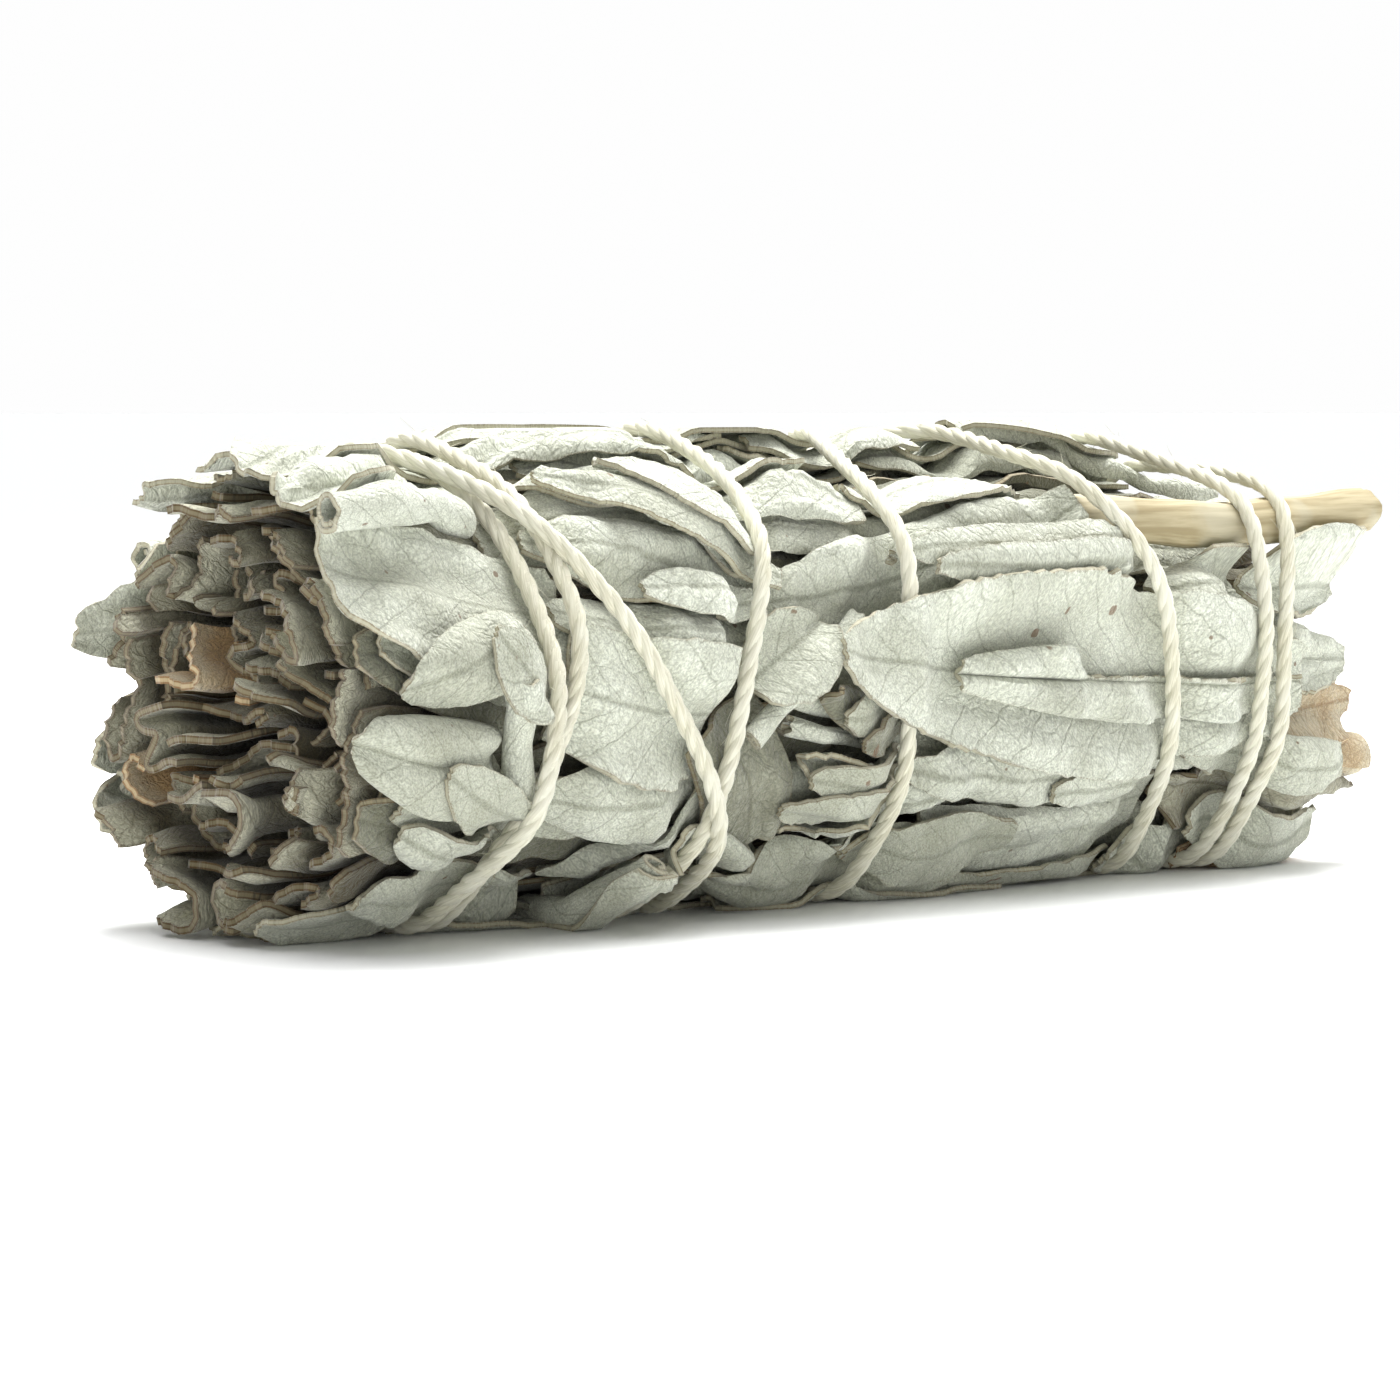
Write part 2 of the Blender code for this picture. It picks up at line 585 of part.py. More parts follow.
def as_mesh(obj):
    """The object as a mesh with its caps welded on; the curve it came from is removed."""
    bpy.context.view_layer.update()
    graph = bpy.context.evaluated_depsgraph_get()
    mesh = bpy.data.meshes.new_from_object(obj.evaluated_get(graph))
    name, collection = obj.name, obj.users_collection[0]
    bpy.data.objects.remove(obj)
    bm = bmesh.new()
    bm.from_mesh(mesh)
    bmesh.ops.remove_doubles(bm, verts=bm.verts, dist=1e-6)
    bm.to_mesh(mesh)
    bm.free()
    made = bpy.data.objects.new(name, mesh)
    collection.objects.link(made)
    return made


def joined(objects):
    """One solid made of several, kept under the first one's name."""
    name, material = objects[0].name, objects[0].data.materials[0]
    whole = as_mesh(objects[0])
    for obj in objects[1:]:
        piece = as_mesh(obj)
        union = whole.modifiers.new("Join", "BOOLEAN")
        union.operation = "UNION"
        union.solver = "MANIFOLD"
        union.object = piece
        bpy.context.view_layer.update()
        graph = bpy.context.evaluated_depsgraph_get()
        mesh = bpy.data.meshes.new_from_object(whole.evaluated_get(graph))
        whole.modifiers.clear()
        whole.data = mesh
        bpy.data.objects.remove(piece)
    whole.name = name
    whole.data.materials.clear()
    whole.data.materials.append(material)
    return whole


def knot_tubes(middle, collection):
    """A trefoil and two tails, to be joined to the string's ends."""
    t = np.linspace(0, 2 * math.pi, 30, endpoint=False)
    x = KNOT_PLACE[0] + KNOT_SIZE * (np.sin(t) + 2 * np.sin(2 * t)) / 3
    arc = KNOT_SIZE * (np.cos(t) - 2 * np.cos(2 * t)) / 3
    loops = to_points(x, KNOT_PLACE[1] + np.degrees(arc / middle), middle - KNOT_RISE * np.sin(3 * t))
    knot = tube_object("knot", loops, STRING_RADIUS, "string", collection)
    knot.data.splines[0].use_cyclic_u = True
    tubes = [knot]
    for k, (tail_x, tail_angle) in enumerate(KNOT_TAILS):
        share = np.linspace(0.15, 1, 5)
        x = KNOT_PLACE[0] + share * (tail_x - KNOT_PLACE[0])
        angle = KNOT_PLACE[1] + share * (tail_angle - KNOT_PLACE[1])
        tail = to_points(x, angle, middle + 0.3 * share)
        tubes.append(tube_object(f"tail_{k + 1}", tail, STRING_RADIUS, "string", collection))
    return tubes


def covered_turn(before, collection):
    """Triangles of the string where the front leaf will cover it."""
    x, angle = string_places(STRING_POINTS)
    points = to_points(x, angle, string_heights(before, x, angle))
    guide = tube_object("guide", points, STRING_RADIUS, "string", collection)
    triangles = triangles_of(guide)
    bpy.data.objects.remove(guide)
    low, high, most = FRONT_OVER_STRING
    x, angle, _ = to_places(triangles.mean(axis=1))
    return triangles[(x > low) & (x < high) & (np.abs(angle) < most)]


def add_string(before, after, collection):
    """The string lies under the front leaf's tip and over everything else. Its ends are knotted behind."""
    x, angle = string_places(STRING_POINTS)
    height = np.where(
        x < FRONT_OVER_STRING[1],
        string_heights(before, x, angle),
        string_heights(after, x, angle),
    )
    height = np.minimum(height, floor_limit(angle, STRING_RADIUS + 0.05))
    around = np.array([(i, j) for i in (-3, 0, 3) for j in (-12, 0, 12)])
    knot_x, knot_angle = KNOT_PLACE
    middle = after.around(knot_x + around[:, 0], knot_angle + around[:, 1]).max()
    middle += GAP + STRING_RADIUS + KNOT_RISE
    first = to_points(knot_x - 1, knot_angle + 4, middle)
    last = to_points(knot_x + 1, knot_angle - 4, middle)
    points = np.vstack([first, to_points(x, angle, height)[1:-1], last])
    string = tube_object("string", points, STRING_RADIUS, "string", collection)
    joined([string, *knot_tubes(middle, collection)])


def main():
    clear_scene()
    collection = bpy.data.collections.new("white_sage_bundle")
    bpy.context.scene.collection.children.link(collection)
    reach = Reach()
    add_packed_leaves(collection)
    for k, leaf in enumerate(UNDER_LEAVES):
        lay_blade(f"under_leaf_{k + 1}", leaf, reach, "under", collection, 10, 3)
    add_stems(reach, collection)
    for k, leaf in enumerate(SIDE_LEAVES):
        lay_blade(f"side_leaf_{k + 1:02d}", leaf, reach, "side", collection)
    for k, leaf in enumerate(OUTER_LEAVES):
        lay_blade(f"outer_leaf_{k + 1:02d}", leaf, reach, "outer", collection)
    for k, leaf in enumerate(REST_LEAVES):
        lay_blade(f"rest_leaf_{k + 1}", leaf, reach, "outer", collection, puff=REST_PUFF)
    before = Reach()
    before.top = reach.top.copy()
    before.widen()
    reach.add(covered_turn(before, collection))
    lay_blade("outer_leaf_front", FRONT_LEAF, reach, "outer", collection, 14, 6)
    lay_blade("outer_leaf_hooked", HOOKED_LEAF, reach, "outer", collection, 10, 4)
    add_string(before, reach, collection)


main()
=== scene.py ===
# %% [markdown]
# # A dried white sage bundle
# Whole sage leaves are folded lengthwise, packed round a few stems and wound criss-cross with cotton
# string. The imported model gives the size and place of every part. This lesson makes what the eye sees: thin
# felted leaves with veins and brown rims, twisted string, and dry stems.

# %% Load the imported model
import itertools
import math

import bpy
import numpy as np
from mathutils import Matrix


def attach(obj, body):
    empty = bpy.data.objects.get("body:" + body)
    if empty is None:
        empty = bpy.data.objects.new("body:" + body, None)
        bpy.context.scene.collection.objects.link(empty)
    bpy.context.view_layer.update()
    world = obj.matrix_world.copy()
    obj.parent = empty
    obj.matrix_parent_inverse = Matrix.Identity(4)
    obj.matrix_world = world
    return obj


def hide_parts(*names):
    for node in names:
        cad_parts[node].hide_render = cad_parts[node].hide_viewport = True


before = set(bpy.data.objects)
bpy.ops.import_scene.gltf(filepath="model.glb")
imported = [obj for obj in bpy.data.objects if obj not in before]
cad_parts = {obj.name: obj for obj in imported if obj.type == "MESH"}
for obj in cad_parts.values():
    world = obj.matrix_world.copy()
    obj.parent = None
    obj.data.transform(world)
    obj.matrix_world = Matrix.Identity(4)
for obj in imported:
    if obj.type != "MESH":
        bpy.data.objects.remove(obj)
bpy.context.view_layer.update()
MM = 0.001
print("nodes:", len(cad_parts))

# %% [markdown]
# The camera stands to the left of the bundle, a little above it, and looks past its near end along the
# front. The lens is long, so the far end is only a little smaller than the near one. A camera's own turn is
# three angles: the first tips it up from looking straight down, and the last turns it round the vertical.

# %% Camera
CAMERA_PLACE = (-0.2392, -0.2650, 0.0377)  # metres
CAMERA_TURN = 49.0  # degrees from +X to the direction it looks in
CAMERA_DIP = 3.62  # degrees below the horizon
LENS = 118.5  # millimetres, on a sensor that is 36 wide
bpy.ops.object.camera_add(location=CAMERA_PLACE)
camera = bpy.context.object
camera.rotation_euler = (math.radians(90 - CAMERA_DIP), 0, math.radians(CAMERA_TURN - 90))
camera.data.lens = LENS
camera.data.sensor_width = 36
camera.data.clip_start = 0.01
bpy.context.scene.camera = camera
print("camera at", tuple(camera.location))

# %% [markdown]
# Materials and the world are trees of nodes. A tree can be wired by hand in Blender's editor. Here two
# small helpers add a node with its settings in one line, so that each tree below reads from top to bottom.

# %% Helpers for nodes
def node_in(tree, kind, **values):
    """Adds a node and sets its inputs and properties by name."""
    node = tree.nodes.new(kind)
    for key, value in values.items():
        if key in node.inputs:
            node.inputs[key].default_value = value
        else:
            setattr(node, key, value)
    return node


def range_in(tree, value, low, high, to_low=0.0, to_high=1.0):
    node = tree.nodes.new("ShaderNodeMapRange")
    node.interpolation_type = "SMOOTHSTEP"
    tree.links.new(value, node.inputs["Value"])
    for name, number in zip(("From Min", "From Max", "To Min", "To Max"), (low, high, to_low, to_high)):
        node.inputs[name].default_value = number
    return node.outputs[0]


# %% [markdown]
# The light of the photograph is bright and soft, and comes from above: a wide lamp over the back of the
# bundle and a broad, hazy sun almost burn out the top of the leaves. Two weak lamps at the front keep the
# shadows open. Square lamps are used because their size sets how soft a shadow is.

# %% Lamps
def soft_lamp(name, place, aim, size, power):
    """A square lamp at a place, turned to its aim."""
    bpy.ops.object.light_add(type="AREA", location=place)
    lamp = bpy.context.object
    lamp.name = name
    lamp.data.size = size
    lamp.data.energy = power
    way = np.array(aim) - np.array(place)
    flat = math.hypot(way[0], way[1])
    lamp.rotation_euler = (math.atan2(flat, -way[2]), 0, math.atan2(-way[0], way[1]))
    return lamp


# Each row gives a name, a place, what the lamp aims at and its size, in metres, and its power in watts.
LAMPS = (
    ("top_lamp", (0.10, 0.10, 0.44), (0, 0, 0.02), 0.30, 3.9),
    ("front_lamp", (-0.46, -0.34, 0.22), (0, 0, 0.015), 0.34, 0.16),
    ("side_lamp", (0.30, -0.46, 0.26), (0, 0, 0.02), 0.34, 0.14),
)
SUN_SPREAD = 75.0  # degrees: the wider, the softer its shadows
SUN_STRENGTH = 2.4
SUN_TILT = (-3.0, 10.0)
for lamp in LAMPS:
    soft_lamp(*lamp)
bpy.ops.object.light_add(type="SUN", location=(0.2, 0.3, 0.8))
sky = bpy.context.object
sky.name = "sky_lamp"
sky.data.angle = math.radians(SUN_SPREAD)
sky.data.energy = SUN_STRENGTH
sky.rotation_euler = (*np.radians(SUN_TILT), 0)

# %% [markdown]
# The bundle lies on a plain white sheet with no horizon in sight. A very large plane makes the sheet. The
# world behind it is as white near the horizon, so that the two run into each other, and dimmer higher up,
# where it only adds to the light. Both are stage, not part of the bundle.

# %% World and floor
HAZE_HEIGHTS = (0.16, 0.30)  # the world is bright below the first and dim above the second
HAZE_STRENGTHS = (0.99, 0.27)
FLOOR_COLOUR = (0.96, 0.97, 0.97, 1)
world = bpy.data.worlds.new("studio")
bpy.context.scene.world = world
world.use_nodes = True
tree = world.node_tree
where = node_in(tree, "ShaderNodeTexCoord")
parts = node_in(tree, "ShaderNodeSeparateXYZ")
tree.links.new(where.outputs["Generated"], parts.inputs[0])
haze = range_in(tree, parts.outputs["Z"], *HAZE_HEIGHTS, *HAZE_STRENGTHS)
tree.links.new(haze, tree.nodes["Background"].inputs["Strength"])
tree.nodes["Background"].inputs["Color"].default_value = (1, 1, 1, 1)
bpy.context.scene.view_settings.view_transform = "Standard"
bpy.ops.mesh.primitive_plane_add(size=60)
floor = bpy.context.object
floor.name = "floor"
white = bpy.data.materials.new("white sheet")
white.use_nodes = True
white.node_tree.nodes["Principled BSDF"].inputs["Base Color"].default_value = FLOOR_COLOUR
white.node_tree.nodes["Principled BSDF"].inputs["Roughness"].default_value = 0.9
floor.data.materials.append(white)
print("stage:", floor.name)

# %% [markdown]
# A place in the bundle is (x, angle, radius) round its axis, in millimetres and degrees. Angle 0 faces the
# front of the bundle, 90 is the top and -90 the underside. A leaf is drawn flat in x and angle, as on a
# paper wrapped round the bundle, and then gets its radius. That is easier than placing bent leaves in
# space.

# %% Places in the bundle
HALF_LENGTH = 54.0
AXIS_SIDE = 1.3
AXIS_HEIGHT = 17.5
ARC_RADIUS = 16.0  # at which an angle is turned into millimetres


def to_points(x, angle, radius):
    """Places round the axis as points (x, y, z) in millimetres."""
    a = np.radians(angle)
    return np.stack(np.broadcast_arrays(
        x, AXIS_SIDE - radius * np.cos(a), AXIS_HEIGHT + radius * np.sin(a)), axis=-1)


def to_places(points):
    """The reverse: x, angle and radius of each point."""
    y, z = points[..., 1] - AXIS_SIDE, points[..., 2] - AXIS_HEIGHT
    return points[..., 0], np.degrees(np.arctan2(z, -y)), np.hypot(y, z)


def smooth(share):
    """0 to 1 with a soft start and end."""
    share = np.clip(share, 0, 1)
    return share * share * (3 - 2 * share)


print("a leaf at the front lies at", to_points(0.0, 0.0, ARC_RADIUS))

# %% [markdown]
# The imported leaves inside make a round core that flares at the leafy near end, narrows at the cut far end,
# and sags towards the floor. Nothing may reach past the bundle's bounds, which are those of the packed
# model: a leaf that would is pressed in, softly at the sides and flat where it lies on the floor.

# %% Core and bounds
CORE_RADIUS = 13.2
CORE_SAG = 1.9
CORE_MOST = 15.8
FRONT_BOUND = 20.6
BACK_BOUND = 18.3
TOP_BOUND = 19.4
SOFT_EDGE = 1.8


def core_scale(x):
    """How much wider the core is than at its middle."""
    flare = 0.21 * np.clip((-41.0 - x) / 13.0, 0, 1.2) ** 1.3
    return 1 + flare - 0.10 * smooth((x - 22.0) / 32.0)


def core_reach(x, angle):
    """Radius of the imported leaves, which sag towards the floor."""
    down = np.maximum(-np.sin(np.radians(angle)), 0) ** 3
    scale = core_scale(x)
    sagging = np.minimum(CORE_RADIUS * np.maximum(scale, 1) + CORE_SAG, CORE_MOST)
    return CORE_RADIUS * scale * (1 - down) + sagging * down


def bound(angle, clearance):
    """Radius at which something with this clearance meets the bundle's bounds."""
    a = np.radians(angle)
    ahead, up = np.cos(a), np.sin(a)
    sideways = np.where(ahead > 0, FRONT_BOUND, BACK_BOUND) - clearance
    height = np.where(up > 0, TOP_BOUND, AXIS_HEIGHT) - clearance
    return np.minimum(sideways / np.maximum(np.abs(ahead), 0.05), height / np.maximum(np.abs(up), 0.05))


def pressed(radius, limit, angle):
    """Keeps a radius under its limit: gradually, except where it rests on the floor."""
    over = radius - (limit - SOFT_EDGE)
    soft = limit - SOFT_EDGE + SOFT_EDGE * np.tanh(over / SOFT_EDGE)
    soft = np.where(over > 0, soft, radius)
    return np.where(np.sin(np.radians(angle)) < -0.5, np.minimum(radius, limit), soft)


print("core radius at the near end, middle and far end:", CORE_RADIUS * core_scale(np.array([-54, 0, 54])))

# %% [markdown]
# One length of cotton string winds round the bundle lengthwise and back. Its course is laid down first,
# because a leaf lies pressed flat where a turn of string crosses it and swells up between two turns. A
# curve through a few dozen places, read from the photograph, is enough: the string itself comes last.

# %% Course of the string
# Each pair gives a number of turns from the top, and the x that the string has there.
STRING_ROUTE = (
    (-0.25, 40.0), (0.0, 42.5), (0.25, 39.0), (0.5, 38.0), (0.75, 37.0), (1.0, 36.0), (1.25, 36.3),
    (1.5, 35.0), (1.75, 20.0), (2.0, 4.0), (2.15, -2.0), (2.25, -2.5), (2.4, -2.5), (2.5, -3.5),
    (2.75, -7.0), (3.0, -12.0), (3.12, -14.4), (3.25, -18.5), (3.35, -22.0), (3.5, -24.0),
    (3.75, -30.0), (4.0, -33.6), (4.15, -34.0), (4.25, -34.7), (4.35, -37.5), (4.5, -38.5),
    (4.75, -37.5), (5.0, -37.0), (5.25, -37.0), (5.35, -39.5), (5.5, -40.0), (5.75, -41.0),
    (6.0, -40.0), (6.1, -36.5), (6.15, -34.0), (6.2, -30.0), (6.25, -26.5), (6.3, -23.0),
    (6.35, -20.4), (6.45, -18.0), (6.5, -16.0), (6.75, 0.0), (7.0, 17.9), (7.1, 17.5),
    (7.15, 19.5), (7.2, 24.0), (7.25, 25.8), (7.35, 27.5), (7.5, 30.0), (7.75, 40.0),
)
STRING_POINTS = 900
GRIP = 1.3  # closer than this to the string, a leaf is pressed flat
RELEASE = 4.5  # farther than this, it is free


def curve_through(knots, at):
    """A smooth curve through (place, value) pairs, read at places."""
    places, values = np.array(knots, float).T
    slopes = np.gradient(values, places)
    k = np.clip(np.searchsorted(places, at, side="right") - 1, 0, len(places) - 2)
    width = places[k + 1] - places[k]
    s = (at - places[k]) / width
    near = (1 + 2 * s) * (1 - s) ** 2 * values[k] + s * (1 - s) ** 2 * width * slopes[k]
    far = s * s * (3 - 2 * s) * values[k + 1] + s * s * (s - 1) * width * slopes[k + 1]
    return near + far


string_turns = np.linspace(STRING_ROUTE[0][0], STRING_ROUTE[-1][0], STRING_POINTS)
string_x, string_angle = curve_through(STRING_ROUTE, string_turns), 90 - 360 * string_turns


def looseness(x, angle):
    """0 under the string, 1 well between its turns."""
    near = np.full(x.shape, 99.0)
    for sx, sa in zip(string_x[::2], string_angle[::2]):
        turn = (angle - sa + 180) % 360 - 180
        near = np.minimum(near, np.hypot(x - sx, np.radians(turn) * ARC_RADIUS))
    return smooth((near - GRIP) / (RELEASE - GRIP))


print("string turns:", string_turns[-1] - string_turns[0])

# %% [markdown]
# A map over x and angle holds how far out the bundle reaches so far. Each leaf is laid on that map and then
# added to it, as if the bundle were built by hand from the inside out. A cloth simulation could do the
# same, but it is slow and never quite repeats.

# %% Map of the bundle's reach
X_STEP = 0.4
ANGLE_STEP = 1.5
MAP_SPARE = 4.0  # how far the map goes past each end of the bundle


class Reach:
    """The radius reached so far, in cells of x and angle."""

    def __init__(self):
        self.start = -HALF_LENGTH - MAP_SPARE
        count = int(2 * (HALF_LENGTH + MAP_SPARE) / X_STEP) + 1
        x = self.start + X_STEP * np.arange(count)
        angle = ANGLE_STEP * np.arange(int(360 / ANGLE_STEP))
        self.top = core_reach(x[:, None], angle[None, :])

    def cells(self, x, angle):
        i = np.round((x - self.start) / X_STEP).astype(int)
        j = np.round(angle / ANGLE_STEP).astype(int)
        return np.clip(i, 0, self.top.shape[0] - 1), j % self.top.shape[1]

    def under(self, x, angle, spread=1):
        """The highest of the cells round each place."""
        i, j = self.cells(x, angle)
        most = np.zeros(np.shape(x))
        for di, dj in itertools.product(range(-spread, spread + 1), repeat=2):
            near = np.clip(i + di, 0, self.top.shape[0] - 1), (j + dj) % self.top.shape[1]
            most = np.maximum(most, self.top[near])
        return most

    def add(self, points):
        """Adds a grid of points, filled in between its rows and columns."""
        for _ in range(2):
            between = (points[1:] + points[:-1]) / 2
            filled = np.empty((len(points) + len(between), *points.shape[1:]))
            filled[0::2], filled[1::2] = points, between
            points = filled.transpose(1, 0, 2)
        x, angle, radius = to_places(points.reshape(-1, 3))
        np.maximum.at(self.top, self.cells(x, angle), radius)


reach = Reach()
print("map of", reach.top.shape)

# %% [markdown]
# ## Felted leaf
# White sage is covered in short pale hairs, so it looks like suede. Under them runs a fine net of sunken
# veins. The rims dry to a brown line. One node group makes the veins, another the dry spots, and each leaf
# material mixes them with its own colours. A group is built once and can then be placed in many materials.

# %% Helpers for materials
def math_in(tree, operation, one, two=None):
    """Adds a Math node fed by sockets or numbers."""
    node = tree.nodes.new("ShaderNodeMath")
    node.operation = operation
    for slot, value in ((0, one), (1, two)):
        if value is None:
            continue
        if isinstance(value, (int, float)):
            node.inputs[slot].default_value = value
        else:
            tree.links.new(value, node.inputs[slot])
    return node.outputs[0]


def mix_in(tree, factor, one, two, blend="MIX"):
    """Mixes two colours, each a socket or a colour."""
    node = tree.nodes.new("ShaderNodeMix")
    node.data_type = "RGBA"
    node.blend_type = blend
    for slot, value in ((0, factor), (6, one), (7, two)):
        if hasattr(value, "links"):
            tree.links.new(value, node.inputs[slot])
        elif slot == 0:
            node.inputs[slot].default_value = value
        else:
            node.inputs[slot].default_value = (*value, 1)
    return node.outputs[2]


def new_group(name, inputs, outputs):
    """An empty shader group with named sockets."""
    group = bpy.data.node_groups.new(name, "ShaderNodeTree")
    for kind, label in inputs:
        group.interface.new_socket(label, in_out="INPUT", socket_type=kind)
    for kind, label in outputs:
        group.interface.new_socket(label, in_out="OUTPUT", socket_type=kind)
    return group, group.nodes.new("NodeGroupInput"), group.nodes.new("NodeGroupOutput")


def place_group(tree, group):
    node = tree.nodes.new("ShaderNodeGroup")
    node.node_tree = group
    return node


# %% [markdown]
# The veins of a sage leaf are a midrib, slanting side veins and a net of small cells. A Voronoi texture
# draws such cells, and the distance to their edges makes the lines. The midrib and side veins are straight
# lines in the leaf's own coordinates, bent a little by noise.

# %% Vein group
def make_vein_group():
    """Midrib, side veins and the fine net, from a leaf's own millimetre coordinates (along, across, seed)."""
    group, give, take = new_group(
        "Sage Veins",
        [("NodeSocketVector", "Leaf")],
        [("NodeSocketFloat", "Net"), ("NodeSocketFloat", "Ribs"), ("NodeSocketFloat", "Height")],
    )
    leaf = give.outputs["Leaf"]
    noise = node_in(group, "ShaderNodeTexNoise", Scale=0.55, Detail=2.0)
    group.links.new(leaf, noise.inputs["Vector"])
    shift = node_in(group, "ShaderNodeVectorMath", operation="MULTIPLY_ADD")
    group.links.new(noise.outputs["Color"], shift.inputs[0])
    shift.inputs[1].default_value = (1.1, 1.1, 0)
    group.links.new(leaf, shift.inputs[2])
    fine = node_in(group, "ShaderNodeTexVoronoi", feature="DISTANCE_TO_EDGE", Scale=1.6)
    coarse = node_in(group, "ShaderNodeTexVoronoi", feature="DISTANCE_TO_EDGE", Scale=0.5)
    for net in (fine, coarse):
        group.links.new(shift.outputs[0], net.inputs["Vector"])
    fine_line = range_in(group, fine.outputs["Distance"], 0.0, 0.13, 1.0, 0.0)
    coarse_line = range_in(group, coarse.outputs["Distance"], 0.0, 0.05, 0.6, 0.0)
    parts = node_in(group, "ShaderNodeSeparateXYZ")
    group.links.new(shift.outputs[0], parts.inputs[0])
    true_parts = node_in(group, "ShaderNodeSeparateXYZ")
    group.links.new(leaf, true_parts.inputs[0])
    across = math_in(group, "ABSOLUTE", true_parts.outputs["Y"])
    midrib = range_in(group, across, 0.05, 0.32, 1.0, 0.0)
    slant = math_in(group, "ADD", parts.outputs["X"], math_in(group, "MULTIPLY", across, -1.25))
    step = math_in(group, "PINGPONG", slant, 1.7)
    side = range_in(group, step, 0.0, 0.16, 0.75, 0.0)
    net = math_in(group, "MAXIMUM", math_in(group, "MULTIPLY", fine_line, 0.5), coarse_line)
    ribs = math_in(group, "MAXIMUM", midrib, side)
    group.links.new(net, take.inputs["Net"])
    group.links.new(ribs, take.inputs["Ribs"])
    dome = range_in(group, fine.outputs["Distance"], 0.0, 0.35)
    deep = math_in(group, "MULTIPLY", math_in(group, "MAXIMUM", coarse_line, ribs), -0.9)
    group.links.new(math_in(group, "ADD", dome, deep), take.inputs["Height"])
    return group


# %% [markdown]
# Dry leaves are cloudy, grainy and here and there brown-specked. These are three kinds of noise: large and
# soft, very fine, and small with a sharp limit, so that only its few peaks show.

# %% Spot group
def make_spot_group():
    """Cloudy patches, fine felt grain and a few brown specks, each from noise of its own size."""
    group, give, take = new_group(
        "Dry Spots",
        [("NodeSocketVector", "Leaf")],
        [("NodeSocketFloat", "Cloud"), ("NodeSocketFloat", "Grain"), ("NodeSocketFloat", "Speck")],
    )
    leaf = give.outputs["Leaf"]
    for name, scale, detail, low, high in (
        ("Cloud", 0.16, 4.0, 0.38, 0.66), ("Grain", 8.0, 4.0, 0.30, 0.70), ("Speck", 0.75, 1.0, 0.76, 0.79),
    ):
        noise = node_in(group, "ShaderNodeTexNoise", Scale=scale, Detail=detail)
        group.links.new(leaf, noise.inputs["Vector"])
        group.links.new(range_in(group, noise.outputs["Fac"], low, high), take.inputs[name])
    return group


VEINS = make_vein_group()
SPOTS = make_spot_group()
print("groups:", [g.name for g in bpy.data.node_groups])

# %% [markdown]
# Each leaf carries four values per point that the material reads, so the pattern follows the leaf wherever
# it bends. "leaf" is the place on the leaf in millimetres, "rim" is the distance from the leaf's margin,
# and "side" is 1 on one face and -1 on the other, so it crosses 0 half-way through the cut edge. "tone" is
# how far the leaf goes from its pale colour to its dark one: partly a random difference between leaves,
# and partly painted shade, darker for leaves that lie deep, low or in the gaps.

# %% Leaf materials
FELT_RELIEF = 0.00012  # metres, as every length in a shader
SPECK_COLOUR = (0.16, 0.09, 0.04)
FELT_SHADER = {"Roughness": 0.9, "Sheen Weight": 0.25, "Sheen Roughness": 0.6, "Specular IOR Level": 0.2}


def make_leaf_material(name, pale, shade, vein, rim_colour, heart_colour, rim_width, rim_strength, bump):
    """Felt between two tones, with veins, specks, a dry rim and the heart of the wall where it is cut."""
    material = bpy.data.materials.new(name)
    material.use_nodes = True
    tree = material.node_tree
    shader = tree.nodes["Principled BSDF"]
    leaf = node_in(tree, "ShaderNodeAttribute", attribute_name="leaf").outputs["Vector"]
    rim, side, tone = (
        node_in(tree, "ShaderNodeAttribute", attribute_name=key).outputs["Fac"]
        for key in ("rim", "side", "tone"))
    veins, spots = place_group(tree, VEINS), place_group(tree, SPOTS)
    for node in (veins, spots):
        tree.links.new(leaf, node.inputs["Leaf"])
    cloud = math_in(tree, "ADD", math_in(tree, "MULTIPLY", spots.outputs["Cloud"], 0.55), tone)
    colour = mix_in(tree, math_in(tree, "MINIMUM", cloud, 1.0), pale, shade)
    colour = mix_in(tree, math_in(tree, "MULTIPLY", veins.outputs["Net"], 0.5), colour, vein)
    colour = mix_in(tree, math_in(tree, "MULTIPLY", veins.outputs["Ribs"], 0.55), colour, vein)
    grain = range_in(tree, spots.outputs["Grain"], 0.0, 1.0, 0.76, 1.10)
    grey = node_in(tree, "ShaderNodeCombineColor")
    for channel in ("Red", "Green", "Blue"):
        tree.links.new(grain, grey.inputs[channel])
    colour = mix_in(tree, 1.0, colour, grey.outputs[0], "MULTIPLY")
    colour = mix_in(tree, math_in(tree, "MULTIPLY", spots.outputs["Speck"], 0.8), colour, SPECK_COLOUR)
    ragged = rim
    for spot, share in (("Cloud", 0.7), ("Grain", 0.9)):
        bite = math_in(tree, "MULTIPLY", spots.outputs[spot], rim_width * share)
        ragged = math_in(tree, "ADD", ragged, bite)
    margin = range_in(tree, ragged, rim_width * 0.5, rim_width * 1.5, rim_strength, 0.0)
    worn = range_in(tree, spots.outputs["Cloud"], 0.0, 1.0, 0.45, 1.0)
    margin = math_in(tree, "MULTIPLY", margin, worn)
    colour = mix_in(tree, margin, colour, rim_colour)
    inside = math_in(tree, "ABSOLUTE", side)
    line = range_in(tree, inside, 0.99, 0.9, 0.0, rim_strength)
    colour = mix_in(tree, line, colour, rim_colour)
    heart = range_in(tree, inside, 0.35, 0.65, 0.9, 0.0)
    colour = mix_in(tree, heart, colour, heart_colour)
    tree.links.new(colour, shader.inputs["Base Color"])
    felt = math_in(tree, "MULTIPLY", spots.outputs["Grain"], 0.35)
    relief = node_in(tree, "ShaderNodeBump", Strength=bump, Distance=FELT_RELIEF)
    tree.links.new(math_in(tree, "ADD", veins.outputs["Height"], felt), relief.inputs["Height"])
    tree.links.new(relief.outputs[0], shader.inputs["Normal"])
    for socket, number in FELT_SHADER.items():
        shader.inputs[socket].default_value = number
    return material


